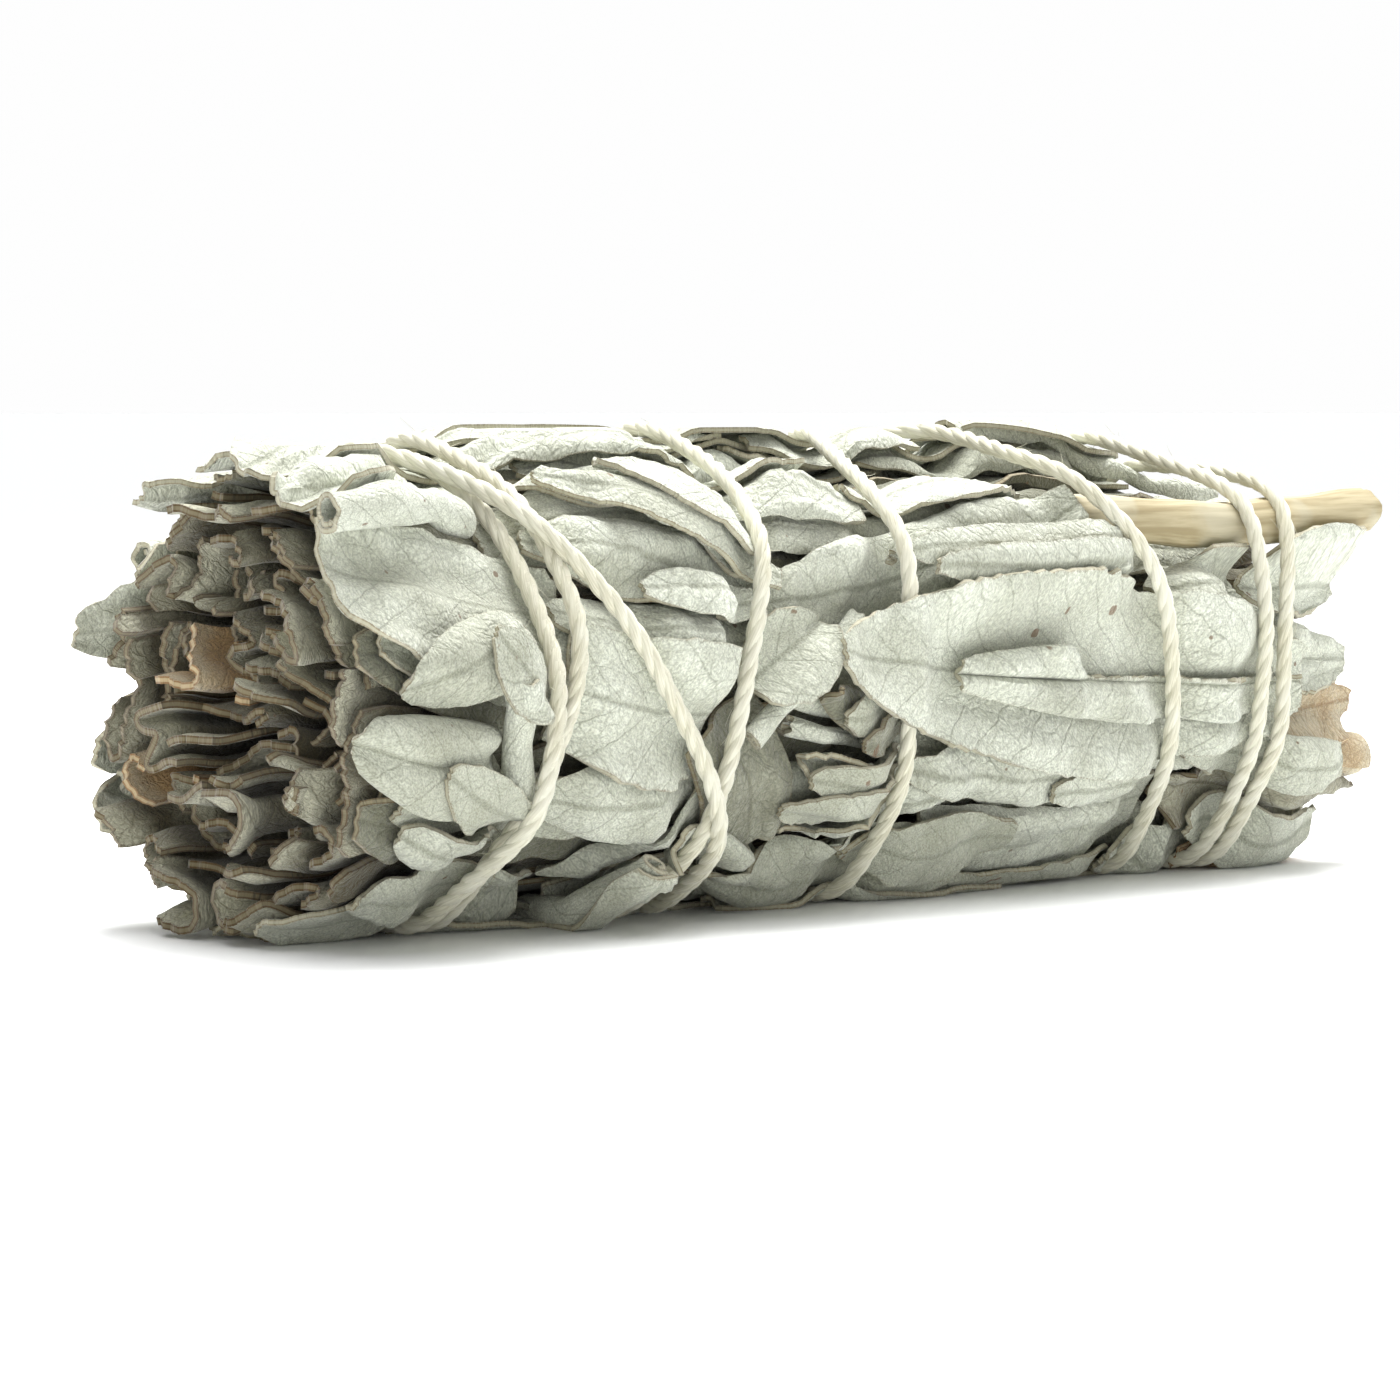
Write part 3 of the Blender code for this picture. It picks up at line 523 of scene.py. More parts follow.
OUTER = make_leaf_material(
    "outer leaf felt", (0.72, 0.745, 0.635), (0.42, 0.43, 0.335), (0.24, 0.25, 0.18), (0.22, 0.16, 0.08),
    (0.46, 0.44, 0.32), 0.20, 0.55, 0.65)
# A darker copy of the outer felt, for the leaves inside and in the gaps: painted shade.
INNER = make_leaf_material(
    "shaded inner leaf felt", (0.36, 0.365, 0.28), (0.14, 0.14, 0.09), (0.14, 0.14, 0.09), (0.17, 0.11, 0.05),
    (0.30, 0.27, 0.17), 0.25, 0.6, 0.7)
# The folded leaves' dark colour is nearly black, so the depth tone paints the shade deep between them.
FOLDED = make_leaf_material(
    "folded leaf", (0.54, 0.53, 0.40), (0.09, 0.078, 0.042), (0.09, 0.075, 0.035), (0.095, 0.058, 0.022),
    (0.21, 0.18, 0.105), 0.36, 0.95, 0.6)
TAN = make_leaf_material(
    "dry tan leaf", (0.56, 0.52, 0.38), (0.46, 0.30, 0.14), (0.28, 0.17, 0.07), (0.24, 0.12, 0.04),
    (0.52, 0.42, 0.25), 0.4, 0.8, 0.6)
print("leaf materials:", ", ".join(material.name for material in (OUTER, INNER, FOLDED, TAN)))


# %% [markdown]
# A leaf is a thin sheet. It starts as a flat grid, whose vertices are then moved to their places, and the
# Solidify modifier gives it a wall. The two faces and the cut edge between them stay known, so that each
# gets its own colour.

# %% Leaf grid
SMOOTH_ANGLE = math.radians(50)  # edges sharper than this stay sharp


def leaf_grid(name, rows, columns):
    """A grid, with each vertex's row and column."""
    bpy.ops.object.select_all(action="DESELECT")
    bpy.ops.mesh.primitive_grid_add(x_subdivisions=rows, y_subdivisions=columns, size=2)
    obj = bpy.context.object
    obj.name = obj.data.name = name
    flat = np.empty(len(obj.data.vertices) * 3)
    obj.data.vertices.foreach_get("co", flat)
    flat = flat.reshape(-1, 3)
    row = np.round((flat[:, 0] + 1) / 2 * rows).astype(int)
    column = np.round((flat[:, 1] + 1) / 2 * columns).astype(int)
    return obj, row, column


def thicken(obj, row, column, points, thickness, values, material):
    """Moves the grid's vertices, gives the sheet a wall, and stores the values that its material reads."""
    obj.data.vertices.foreach_set("co", (points[row, column] * MM).ravel())
    obj.data.update()
    wall = obj.modifiers.new("Thickness", "SOLIDIFY")
    wall.thickness = thickness * MM
    wall.offset = 0
    wall.use_even_offset = False
    bpy.ops.object.modifier_apply(modifier=wall.name)
    mesh = obj.data
    place = np.tile(values["leaf"][row, column], (2, 1))
    mesh.attributes.new("leaf", "FLOAT_VECTOR", "POINT").data.foreach_set("vector", place.ravel())
    tone = np.broadcast_to(values["tone"], values["rim"].shape)
    for key, numbers in (
            ("rim", np.tile(values["rim"][row, column], 2)), ("side", np.repeat([1.0, -1.0], len(row))),
            ("tone", np.tile(tone[row, column], 2))):
        mesh.attributes.new(key, "FLOAT", "POINT").data.foreach_set("value", numbers)
    mesh.materials.append(material)
    bpy.ops.object.shade_smooth_by_angle(angle=SMOOTH_ANGLE)
    return obj


# %% [markdown]
# A sage blade narrows to its base and ends in a blunt tip. When it dries, its long edges roll up or under:
# past a share of the half breadth, the cross-section turns round a small radius. Its face wrinkles in waves
# of several sizes. A stiff sheet also bridges the hollows under it, which a repeated mean of its heights
# gives.

# %% Shape of one leaf
WRINKLE_SIZES = (9.0, 6.0, 4.0, 2.6)


def outline(u, part):
    """Half breadth as a share, over the part of the blade that this piece shows."""
    whole = part[0] + (part[1] - part[0]) * u
    return np.sin(math.pi * (0.07 + 0.90 * whole)) ** 0.6


def edge_turn(beyond, radius, most):
    """Across and up for a length of blade past the start of a rolled edge."""
    turn = np.minimum(beyond / radius, most)
    straight = np.maximum(beyond - radius * most, 0)
    across = radius * np.sin(turn) + straight * np.cos(most)
    return across, radius * (1 - np.cos(turn)) + straight * np.sin(most)


def rolled_edges(t, u, half, left, right):
    """Across and up for a sheet whose long edges are rolled: (share, radius, degrees, up or not) or None."""
    across, up = t.copy(), np.zeros_like(t)
    for sign, edge in ((-1, left), (1, right)):
        if edge is None:
            continue
        share, radius, degrees, over = edge
        begin = half * (1 - share * smooth(np.minimum(u, 1 - u * 0.6) * 6 + 0.25))
        turned, raised = edge_turn(np.maximum(sign * t - begin, 0), radius, math.radians(degrees))
        folded = sign * t > begin
        across = np.where(folded, sign * (begin + turned), across)
        if over:
            up = np.where(folded, raised, up)
        else:
            v = np.linspace(-1, 1, t.shape[1])[None, :]
            depth = raised.max(axis=1, keepdims=True)
            up = up + depth * smooth(1.3 - np.abs(sign - v) * 0.5) - np.where(folded, raised, 0)
    return across, up


def wrinkles(rng, along, t, v, wave):
    """Heights of waves that cross the leaf in several sizes, and of one that runs along its edges."""
    height = np.zeros_like(t)
    for size in WRINKLE_SIZES:
        turn = rng.uniform(-0.6, 0.6)
        ripple = np.cos(turn) * t / (size * 0.5) + np.sin(turn) * along / size
        height += wave * size / WRINKLE_SIZES[0] * np.sin(2 * math.pi * ripple + rng.uniform(0, 6))
    return height + wave * v**2 * np.sin(along * 1.3 + rng.uniform(0, 6) + v)


def settled(need, stiffness):
    """A stiff sheet lying on the heights it needs."""
    height = need.copy()
    for _ in range(stiffness):
        padded = np.pad(height, 1, mode="edge")
        mean = (padded[2:, 1:-1] + padded[:-2, 1:-1] + padded[1:-1, 2:] + padded[1:-1, :-2]) / 4
        height = np.maximum(need, mean)
    return height


# %% [markdown]
# All this comes together when a leaf is laid: the flat sheet gets its outline and rolled edges, is set on
# the map along a line from base to tip, swells between the turns of string, and is added to the map for the
# next leaf.

# %% Laying a leaf
LEAF_WALL = 0.42
LAYER_GAP = 0.06
EDGE_NOTCH = 0.07


def lay_leaf(name, tip, base, breadth, left=None, right=None, bow=0.0, cup=0.0, flare=0.0, crease=0.3,
             wave=0.22, part=(0.0, 1.0), tone=0.2, thickness=LEAF_WALL, stiffness=14, lift=0.0,
             material=OUTER, seed=0, most=19.3, spacing=0.7, trim=None, crease_width=0.8):
    """One leaf from its base to its tip, each (x, angle).

    left and right are (share, radius, degrees, up or not). trim narrows one side up to a share of the length
    and raises it there: (share, breadth that stays, height).
    """
    rng = np.random.default_rng(seed + int(abs(tip[0] * 37 + base[1] * 11)) + 7)
    start = np.array([base[0], math.radians(base[1]) * ARC_RADIUS])
    way = np.array([tip[0], math.radians(tip[1]) * ARC_RADIUS]) - start
    length = np.linalg.norm(way)
    rows, columns = max(8, int(length / spacing)), max(8, int(breadth / (spacing * 0.8)) // 2 * 2)
    obj, row, column = leaf_grid(name, rows, columns)
    u, v = np.meshgrid(np.linspace(0, 1, rows + 1), np.linspace(-1, 1, columns + 1), indexing="ij")
    # The outline: u runs from base to tip, v across, t is the millimetres across.
    half = breadth / 2 * outline(u, part)
    notch = np.sin(length * u * 6.5 + rng.uniform(0, 6))
    notch = notch + 0.7 * np.sin(length * u * 3.1 + v * 2 + rng.uniform(0, 6))
    if trim:
        half = half * np.where(v < 0, 1 - (1 - trim[1]) * smooth((trim[0] - u) / 0.07), 1)
    t = v * (half + EDGE_NOTCH * np.abs(v) ** 8 * notch)
    along = length * u + 0.10 * np.sin(8 * v + rng.uniform(0, 6)) * (u > 0.98)
    across, up = rolled_edges(t, u, half, left, right)
    # Its place in x and angle.
    side_way = np.array([-way[1], way[0]]) / length
    place = start + u[..., None] * way + side_way * (bow * np.sin(math.pi * u) + across)[..., None]
    place += (along - length * u)[..., None] * way / length
    x = np.clip(place[..., 0], -HALF_LENGTH, HALF_LENGTH - 0.1)
    angle = np.degrees(place[..., 1] / ARC_RADIUS)
    # How far it rises over what lies under it.
    swell = up + cup * v * v - crease * np.exp(-((t / crease_width) ** 2))
    swell = swell + wrinkles(rng, length * u, t, v, wave) + lift
    if trim:
        swell = swell + trim[2] * np.exp(-(((u - trim[0] - 0.05) * length / 0.9) ** 2)) * smooth(-v * 2 - 0.9)
    loose = looseness(x, angle)
    swell = np.maximum(swell * (0.15 + 0.85 * loose), 0)
    swell = swell + flare * smooth((u - 0.55) / 0.45) * (0.4 + 0.6 * v * v)
    radius = settled(reach.under(x, angle) + thickness / 2 + LAYER_GAP, stiffness)
    limit = np.maximum(np.minimum(most, bound(angle, thickness / 2 + 0.3)), radius - 0.4)
    radius = np.minimum(radius + swell, np.maximum(limit, radius))
    below = np.sin(np.radians(angle)) < 0
    room = thickness / 2 + 0.02 + np.where(below, 0.0, 1.2 * (1 - loose))
    radius = pressed(radius, bound(angle, room), angle)
    reach.add(to_points(x, angle, radius + thickness / 2))
    values = {
        "leaf": np.stack([along, t, np.full_like(t, rng.uniform(0, 50))], axis=-1),
        "rim": np.minimum((1 - np.abs(v)) * half, np.minimum(u, 1 - u) * length),
        "tone": float(np.clip(tone + rng.uniform(-0.12, 0.12), 0, 1)),
    }
    return thicken(obj, row, column, to_points(x, angle, radius), thickness, values, material)


# %% [markdown]
# ## Folded leaves inside
# The leaves inside are folded to and fro and pressed side by side, and their edges show at both ends.
# Drawing some eighty of them by hand would be slow. Instead a field gives the direction that the folds have
# at each place of the end, read from the photograph at twenty places, so that neighbours nest.

# %% Directions of the folds on the end
# Each row gives a place (y, z) from the axis in millimetres, and a direction in degrees.
FOLD_FIELD = (
    (10.0, 6.0, 95.0), (13.0, 8.0, 115.0), (4.0, 6.0, 62.0), (-3.0, 6.0, 42.0), (2.0, 1.0, 6.0),
    (-6.0, 2.0, 24.0), (13.0, -3.0, 85.0), (7.0, -3.0, -14.0), (-1.0, -5.0, -14.0), (-8.0, -3.0, 108.0),
    (-13.0, -2.0, 95.0), (0.0, -9.0, -8.0), (7.0, -10.0, 28.0), (-7.0, -9.0, -38.0), (0.0, -14.0, 0.0),
    (11.0, -10.0, 50.0), (0.0, 13.0, 0.0), (-9.0, 9.0, 48.0), (8.0, 12.0, -32.0), (-12.0, 5.0, 70.0),
)


def fold_direction(place):
    """Unit direction of the folds at (y, z)."""
    field = np.array(FOLD_FIELD)
    weight = 1 / (((field[:, :2] - place) ** 2).sum(1) + 3) ** 1.6
    double = np.radians(2 * field[:, 2])
    turn = math.atan2(weight @ np.sin(double), weight @ np.cos(double)) / 2
    y, z = place
    turn += 0.42 * math.sin(1.15 * y + 0.7 * z + 1.0) + 0.30 * math.sin(1.9 * z - 0.8 * y)
    turn += 0.2 * math.sin(2.6 * y)
    return np.array([math.cos(turn), math.sin(turn)])


print("direction at the middle of the end:", fold_direction((0.0, 0.0)))

# %% [markdown]
# Lines are grown through the field, side by side at one spacing, until the end is full. Each finished line
# offers places beside it as the start of the next.

# %% Lines side by side
FOLD_REACH = 15.9
FOLD_DROP = 1.5  # how far the middle of the folded leaves lies below the axis
FOLD_SPACING = 1.2
LINE_STEP = 0.25


def off_end(place):
    return math.hypot(place[0], place[1] + FOLD_DROP) > FOLD_REACH


def grow_line(seed, taken, most):
    """A line through the field in both directions, as far as there is room."""
    halves = []
    for sign in (1, -1):
        place, heading, half = np.array(seed), None, []
        while len(half) * LINE_STEP < most / 2:
            way = fold_direction(place)
            if heading is None:
                heading = sign * way
            way = way if way @ heading > 0 else -way
            place, heading = place + LINE_STEP * way, way
            crowded = len(taken) and ((taken - place) ** 2).sum(1).min() < (0.88 * FOLD_SPACING) ** 2
            if crowded or off_end(place):
                break
            half.append(place)
        halves.append(half)
    return np.array(halves[1][::-1] + [np.array(seed)] + halves[0])


def fill_end(rng):
    """Lines side by side over the whole end."""
    lines, taken = [], np.empty((0, 2))
    waiting = [np.array([2.0, -3.0])]
    while waiting:
        seed = waiting.pop(0)
        if off_end(seed):
            continue
        if len(taken) and ((taken - seed) ** 2).sum(1).min() < (0.97 * FOLD_SPACING) ** 2:
            continue
        line = grow_line(seed, taken, rng.uniform(4.0, 11.0))
        if len(line) < 6:
            continue
        lines.append(line)
        taken = np.concatenate([taken, line])
        way = np.gradient(line, axis=0)
        across = np.stack([-way[:, 1], way[:, 0]], axis=1) / np.linalg.norm(way, axis=1, keepdims=True)
        for k in range(0, len(line), 3):
            waiting += [line[k] + FOLD_SPACING * across[k], line[k] - FOLD_SPACING * across[k]]
    return lines


# %% [markdown]
# A folded leaf is one sheet, so neighbouring ends are joined by a tight turn where they point the same way,
# at most four lines to a leaf. That gives the S shapes of the photograph.

# %% Turns between lines
MOST_LINES = 4
SHORTEST = 8  # points that a line needs before it is joined
TURN_ANGLES = np.radians((30, 60, 90, 120, 150))


def turn_between(first, second):
    """The turn from the end of one line to the start of another, or None where they don't fit."""
    out_one, out_two = first[-1] - first[-4], second[0] - second[3]
    apart = np.linalg.norm(first[-2] - second[1])
    same = out_one @ out_two / (np.linalg.norm(out_one) * np.linalg.norm(out_two))
    if not (0.9 < apart < 1.75 and same > 0.5):
        return None
    out = (out_one + out_two) / np.linalg.norm(out_one + out_two)
    middle, side = (first[-2] + second[1]) / 2, (first[-2] - second[1]) / 2
    return [middle + side * math.cos(a) + out * apart / 2 * math.sin(a) for a in TURN_ANGLES]


def join_ends(lines, rng):
    """Lines joined into the sections of folded leaves."""
    chains = [list(line) for line in lines]
    parts = [1] * len(chains)
    for one, other in itertools.product(range(len(chains)), repeat=2):
        if one == other or not chains[one] or not chains[other] or parts[one] + parts[other] > MOST_LINES:
            continue
        for flip_one, flip_other in itertools.product((1, -1), repeat=2):
            first, second = chains[one][::flip_one], chains[other][::flip_other]
            if len(first) < SHORTEST or len(second) < SHORTEST:
                continue
            turn = turn_between(first, second)
            if turn and rng.uniform() < 0.8:
                chains[one] = first[:-1] + turn + second[1:]
                chains[other] = []
                parts[one] += parts[other]
    return [np.array(chain) for chain in chains if chain]


rng = np.random.default_rng(11)
fold_paths = join_ends(fill_end(rng), rng)
print("lines:", len(fold_paths), "of", round(sum(len(p) for p in fold_paths) * LINE_STEP), "mm")

# %% [markdown]
# Every finished piece has to be known to the imported model: it rides on the one body and stands for the
# nodes that it replaces. A small helper does both and keeps a list of the pieces.

# %% Keeping a piece
pieces = []


def keep(piece, slot, *nodes):
    """Notes a finished piece: it rides on the bundle and stands for these nodes."""
    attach(piece, "root")
    if nodes:
        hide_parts(*nodes)
    pieces.append(piece)
    return piece


# %% [markdown]
# Each line becomes one leaf. It starts at the ragged near end, where its free edge may curl, and narrows
# towards the cut far end. Light doesn't get far between the leaves, so the tone rises with the depth:
# painted shade, darkest deep inside. A leaf in the way of a stem stops before it. The imported model has
# eight folded leaves, so each of these stands for the nearest of them.

# %% Helpers for paths
def even_points(points, spacing, fewest=4, more=0):
    """Points spread evenly along a path, and how far along it each lies."""
    steps = np.concatenate([[0], np.cumsum(np.linalg.norm(np.diff(points, axis=0), axis=1))])
    run = np.linspace(0, steps[-1], max(fewest, int(steps[-1] / spacing)) + more)
    return np.stack([np.interp(run, steps, values) for values in points.T], axis=1), run


def rounded(points, times):
    """A path with its corners rounded off, its ends kept."""
    for _ in range(times):
        points[1:-1] = (points[:-2] + 2 * points[1:-1] + points[2:]) / 4
    return points


# %% Folded leaves
FOLD_WALL = 0.58
FOLD_ROUNDING = 24
DEPTH_SHADE = 1.1  # painted shade: how much darker a leaf is inside the bundle than at its free edge
SHADED_DEPTH = 4.5
FOLD_DEPTHS = np.array([0, 0.3, 0.7, 1.3, 2.2, 3.4, 5.0, 7.0, 9.5])
TAN_SPOTS = ((4.6, 2.5), (0.5, 0.0), (12.0, -6.0), (-9.0, -4.0), (5.0, -6.5), (-4.0, 9.0))
PACKED_PLACES = np.array((
    (-7.6, 4.4), (-1.8, 8.6), (4.9, 7.3), (8.4, -2.7), (3.9, -7.9), (-3.3, -8.2), (1.3, -3.5), (0.7, 3.9)))
STEM_SPOTS = ((-8.1, -2.6), (8.1, 2.8), (-2.6, 0.0))
FAR_SHARE = 0.78
FAR_END = 46.8
STEM_START = -12.0
STEM_CLEARANCE = 2.9
# Hollows (above 0) and bulges of the near end: depth, y, z and how wide, as a square.
END_FORMS = ((3.6, 4.0, 8.5, 12.0), (2.6, -8.0, 0.0, 9.0), (-1.6, 8.0, -4.0, 50.0), (-1.0, -2.0, -8.0, 30.0))


def end_surface(y, z):
    """The x at which the near end lies."""
    surface = -50.0 + 0.7 * np.sin(0.55 * y + 1.1) * np.cos(0.5 * z)
    for depth, form_y, form_z, wide in END_FORMS:
        surface = surface + depth * np.exp(-((y - form_y) ** 2 + (z - form_z) ** 2) / wide)
    return surface


def fold_leaf(name, path, seed, far_end):
    """A folded leaf whose section follows a path, from the near end to a far end."""
    rng = np.random.default_rng(seed)
    path, run = even_points(rounded(path, FOLD_ROUNDING), LINE_STEP, 6)
    y, z = path.T
    arch = np.sin(math.pi * (run / run[-1])) ** 0.5
    forward = rng.uniform() < 0.22
    ragged = 0.12 * np.sin(5.1 * run) + 0.08 * np.sin(9.7 * run)
    near = end_surface(y, z) + (-2.6 if forward else rng.uniform(-1.6, 1.8)) - 0.9 * arch * rng.uniform(0, 1)
    near = np.maximum(near + 0.35 * np.sin(1.1 * run + rng.uniform(0, 6)) + ragged, -HALF_LENGTH)
    curl = rng.uniform(-1, 1) * (1.3 if forward else 0.4)
    tone = -0.45 if forward else rng.uniform(-0.4, 0.8)
    far = far_end + rng.uniform(-2.5, 2.5) + 0.8 * arch + 0.35 * np.sin(1.1 * run) + ragged
    x = np.concatenate([near + FOLD_DEPTHS[:, None], far - FOLD_DEPTHS[::-1, None]])
    curled = curl * smooth(1 - (x - near) / 3.0)
    way = np.stack([np.gradient(y), np.gradient(z)])
    way /= np.linalg.norm(way, axis=0)
    side_y = y + 0.22 * np.sin(0.9 * x + 0.5 * z) - curled * way[1]
    side_z = z + 0.22 * np.sin(0.8 * x - 0.5 * y + 2) + curled * way[0]
    angle = np.degrees(np.arctan2(side_z, -side_y))
    narrow = 1 - 0.07 * smooth((x + 50) / 9) - (0.93 - FAR_SHARE) * smooth((x + 30) / 60)
    widest = core_reach(x, angle) - 0.3 + 3.2 * smooth((-44.5 - x) / 5)
    radius = np.minimum(np.minimum(np.hypot(side_y, side_z) * narrow, widest), bound(angle, 0.6))
    free = len(FOLD_DEPTHS)
    reach.add(to_points(x[:free], angle[:free], radius[:free] + FOLD_WALL / 2))
    obj, row, column = leaf_grid(name, x.shape[0] - 1, x.shape[1] - 1)
    rim = np.minimum(np.minimum(x - near, far - x), np.minimum(run, run[-1] - run)[None, :] + 0.1)
    leaf = np.stack([x - near, np.broadcast_to(run, x.shape), np.full(x.shape, 5.0 * seed)], axis=-1)
    tan = min(math.hypot(y.mean() - spot[0], z.mean() - spot[1]) for spot in TAN_SPOTS) < 1.3
    # Painted shade: the tone darkens from the free edge into the bundle.
    values = {"leaf": leaf, "rim": rim, "tone": tone + DEPTH_SHADE * smooth((x - near) / SHADED_DEPTH)}
    return thicken(obj, row, column, to_points(x, angle, radius), FOLD_WALL, values, TAN if tan else FOLDED)


stood_for = set()
for k, path in enumerate(fold_paths):
    clear = min(np.linalg.norm(path * FAR_SHARE - spot, axis=1).min() for spot in STEM_SPOTS)
    far_end = FAR_END if clear > STEM_CLEARANCE else STEM_START - 3
    nearest = np.linalg.norm(PACKED_PLACES - path.mean(axis=0), axis=1).argmin()
    leaf = fold_leaf(f"folded_leaf_{k + 1:03d}", path.copy(), 400 + k, far_end)
    keep(leaf, "packed_leaf", f"packed_leaf_{nearest + 1:02d}")
    stood_for.add(nearest)
print("folded leaves:", len(pieces), "for", len(stood_for), "packed ones")

# %% [markdown]
# ## Leaves laid round the inside
# Five broad blades hold the folded ones together. They show only in the gaps between the outer leaves, and
# at the near end as curved lines round the folded ones, so they are plain: no crease, hardly a wave, and a
# coarser grid.

# %% Broad inner blades
# Each row gives the tip and the base as x and angle, and the breadth.
UNDER_LEAVES = (
    (-48.0, -90.0, 45.0, -90.0, 14.6), (-49.5, -18.0, 43.0, -18.0, 14.6), (-48.0, 54.0, 41.0, 54.0, 14.6),
    (-49.5, 126.0, 45.0, 126.0, 14.6), (-48.0, 198.0, 43.0, 198.0, 14.6),
)

for k, (tip_x, tip_angle, base_x, base_angle, breadth) in enumerate(UNDER_LEAVES):
    piece = lay_leaf(
        f"broad_blade_{k + 1}", (tip_x, tip_angle), (base_x, base_angle), breadth, wave=0.05, crease=0.0,
        tone=0.7, material=INNER, seed=k, spacing=1.0)
    keep(piece, "under_leaf", f"under_leaf_{k + 1}")
print("broad blades:", len(UNDER_LEAVES))

# %% [markdown]
# ## Stems
# Three cut stems run into the far end, and one lies among the outer leaves at the top. Dry sage wood is
# tan, with fine fibres along it and paler patches. Noise that is stretched along X draws the fibres,
# because every stem lies nearly along X.

# %% Stem material
FIBRE_SCALE = (90, 1500, 1500)


def make_stem_material():
    """Tan wood with fibres along X and paler patches."""
    material = bpy.data.materials.new("dry stem")
    material.use_nodes = True
    tree = material.node_tree
    shader = tree.nodes["Principled BSDF"]
    where = node_in(tree, "ShaderNodeTexCoord")
    stretch = node_in(tree, "ShaderNodeMapping")
    stretch.inputs["Scale"].default_value = FIBRE_SCALE
    tree.links.new(where.outputs["Object"], stretch.inputs["Vector"])
    fibre = node_in(tree, "ShaderNodeTexNoise", Scale=1.0, Detail=4.0)
    tree.links.new(stretch.outputs[0], fibre.inputs["Vector"])
    patch = node_in(tree, "ShaderNodeTexNoise", Scale=180.0, Detail=3.0)
    tree.links.new(where.outputs["Object"], patch.inputs["Vector"])
    fibres = range_in(tree, fibre.outputs["Fac"], 0.35, 0.65)
    colour = mix_in(tree, fibres, (0.50, 0.43, 0.27), (0.32, 0.26, 0.14))
    patches = range_in(tree, patch.outputs["Fac"], 0.45, 0.62, 0, 0.6)
    colour = mix_in(tree, patches, colour, (0.50, 0.47, 0.35))
    tree.links.new(colour, shader.inputs["Base Color"])
    relief = node_in(tree, "ShaderNodeBump", Strength=0.5, Distance=0.0002)
    tree.links.new(fibre.outputs["Fac"], relief.inputs["Height"])
    tree.links.new(relief.outputs[0], shader.inputs["Normal"])
    shader.inputs["Roughness"].default_value = 0.75
    return material


STEM = make_stem_material()
print("stem material:", STEM.name)

# %% [markdown]
# A stem is square-ish in section, with shallow grooves, and a little thicker here and there. A grid rolled
# into a tube is enough: its seam is merged, and each open end is closed by one face, as a clean cut.

# %% Stems
STEM_RINGS, STEM_SIDES = 60, 24


def close_tube(obj):
    """Merges the seam of a rolled grid and closes its open ends."""
    bpy.ops.object.mode_set(mode="EDIT")
    bpy.ops.mesh.select_all(action="SELECT")
    bpy.ops.mesh.remove_doubles(threshold=1e-6)
    bpy.ops.mesh.select_all(action="DESELECT")
    bpy.ops.mesh.select_non_manifold(extend=False)
    bpy.ops.mesh.edge_face_add()
    bpy.ops.mesh.select_all(action="SELECT")
    bpy.ops.mesh.normals_make_consistent(inside=False)
    bpy.ops.object.mode_set(mode="OBJECT")


def add_stem(name, places, thickness, node, seed):
    """A stem along (x, angle, radius) places, with grooves and a slightly uneven cut."""
    knots = to_points(*np.array(places, float).T)
    at = np.linspace(0, len(knots) - 1, STEM_RINGS)
    centre = np.stack([np.interp(at, np.arange(len(knots)), values) for values in knots.T], axis=1)
    obj, ring, column = leaf_grid(name, STEM_RINGS - 1, STEM_SIDES)
    turn = 2 * math.pi * column / STEM_SIDES
    groove = 1 - 0.07 * np.cos(4 * turn) ** 2 + 0.03 * np.sin(7 * turn + seed)
    size = thickness * groove * (1 + 0.04 * np.sin(0.4 * ring + seed))
    points = centre[ring] + np.stack([0 * turn, size * np.cos(turn), size * np.sin(turn)], axis=1)
    points[:, 0] += np.where(ring == STEM_RINGS - 1, 0.25 * np.sin(3 * turn + seed), 0)
    obj.data.vertices.foreach_set("co", (points * MM).ravel())
    close_tube(obj)
    obj.data.materials.append(STEM)
    bpy.ops.object.shade_smooth_by_angle(angle=SMOOTH_ANGLE)
    keep(obj, "stem", node)


# Each row gives the angle, the radius, the stem's own radius and the x where it is cut.
CUT_STEMS = ((-14.1, 8.4, 2.5, 54.0), (158.2, 8.2, 1.9, 50.5), (4.2, 2.2, 2.1, 51.5))
for k, (turn, out, thick, end) in enumerate(CUT_STEMS):
    route = [(x, turn, out) for x in (STEM_START, 20, end)]
    add_stem(f"cut_stem_{k + 1}", route, thick, f"stem_{k + 1}", k)
print("cut stems:", len(CUT_STEMS))

# %% [markdown]
# The next course of leaves lies mostly in the shade, so it takes the darker material. Its places are read
# from the photograph where the front shows them, and spread evenly behind.

# %% Side leaves
# Each row gives the tip and the base as x and angle, the breadth, and how far the blade bends sideways.
SIDE_LEAVES = (
    (-36.0, 62.0, -3.0, 36.0, 9.0, 0.8), (-37.0, -22.0, -7.0, -14.0, 8.5, 0.6),
    (-12.0, 55.0, 25.0, 62.0, 8.5, -0.5), (9.0, -6.0, 44.0, 3.0, 10.0, 0.5),
    (-6.0, -38.0, 38.0, -36.0, 8.5, -0.6), (-14.0, -76.0, 36.0, -76.0, 10.0, 0.4),
    (-52.0, 14.0, -22.0, 0.0, 9.0, 0.6), (-51.5, -28.0, -22.0, -42.0, 9.0, 0.6),
    (-51.0, 54.0, -24.0, 46.0, 8.5, 0.4), (-49.5, -84.0, -16.0, -88.0, 10.0, 0.3),
    (-50.5, 98.0, -10.0, 92.0, 11.0, 0.5), (-48.0, 142.0, 4.0, 134.0, 11.5, 0.6),
    (-50.0, 190.0, 0.0, 182.0, 12.0, -0.6), (-50.0, 232.0, -4.0, 226.0, 11.0, 0.5),
    (-6.0, 100.0, 44.0, 92.0, 11.0, 0.5), (6.0, 150.0, 47.0, 152.0, 12.0, 0.5),
    (1.0, 214.0, 47.0, 212.0, 13.0, 0.4),
)
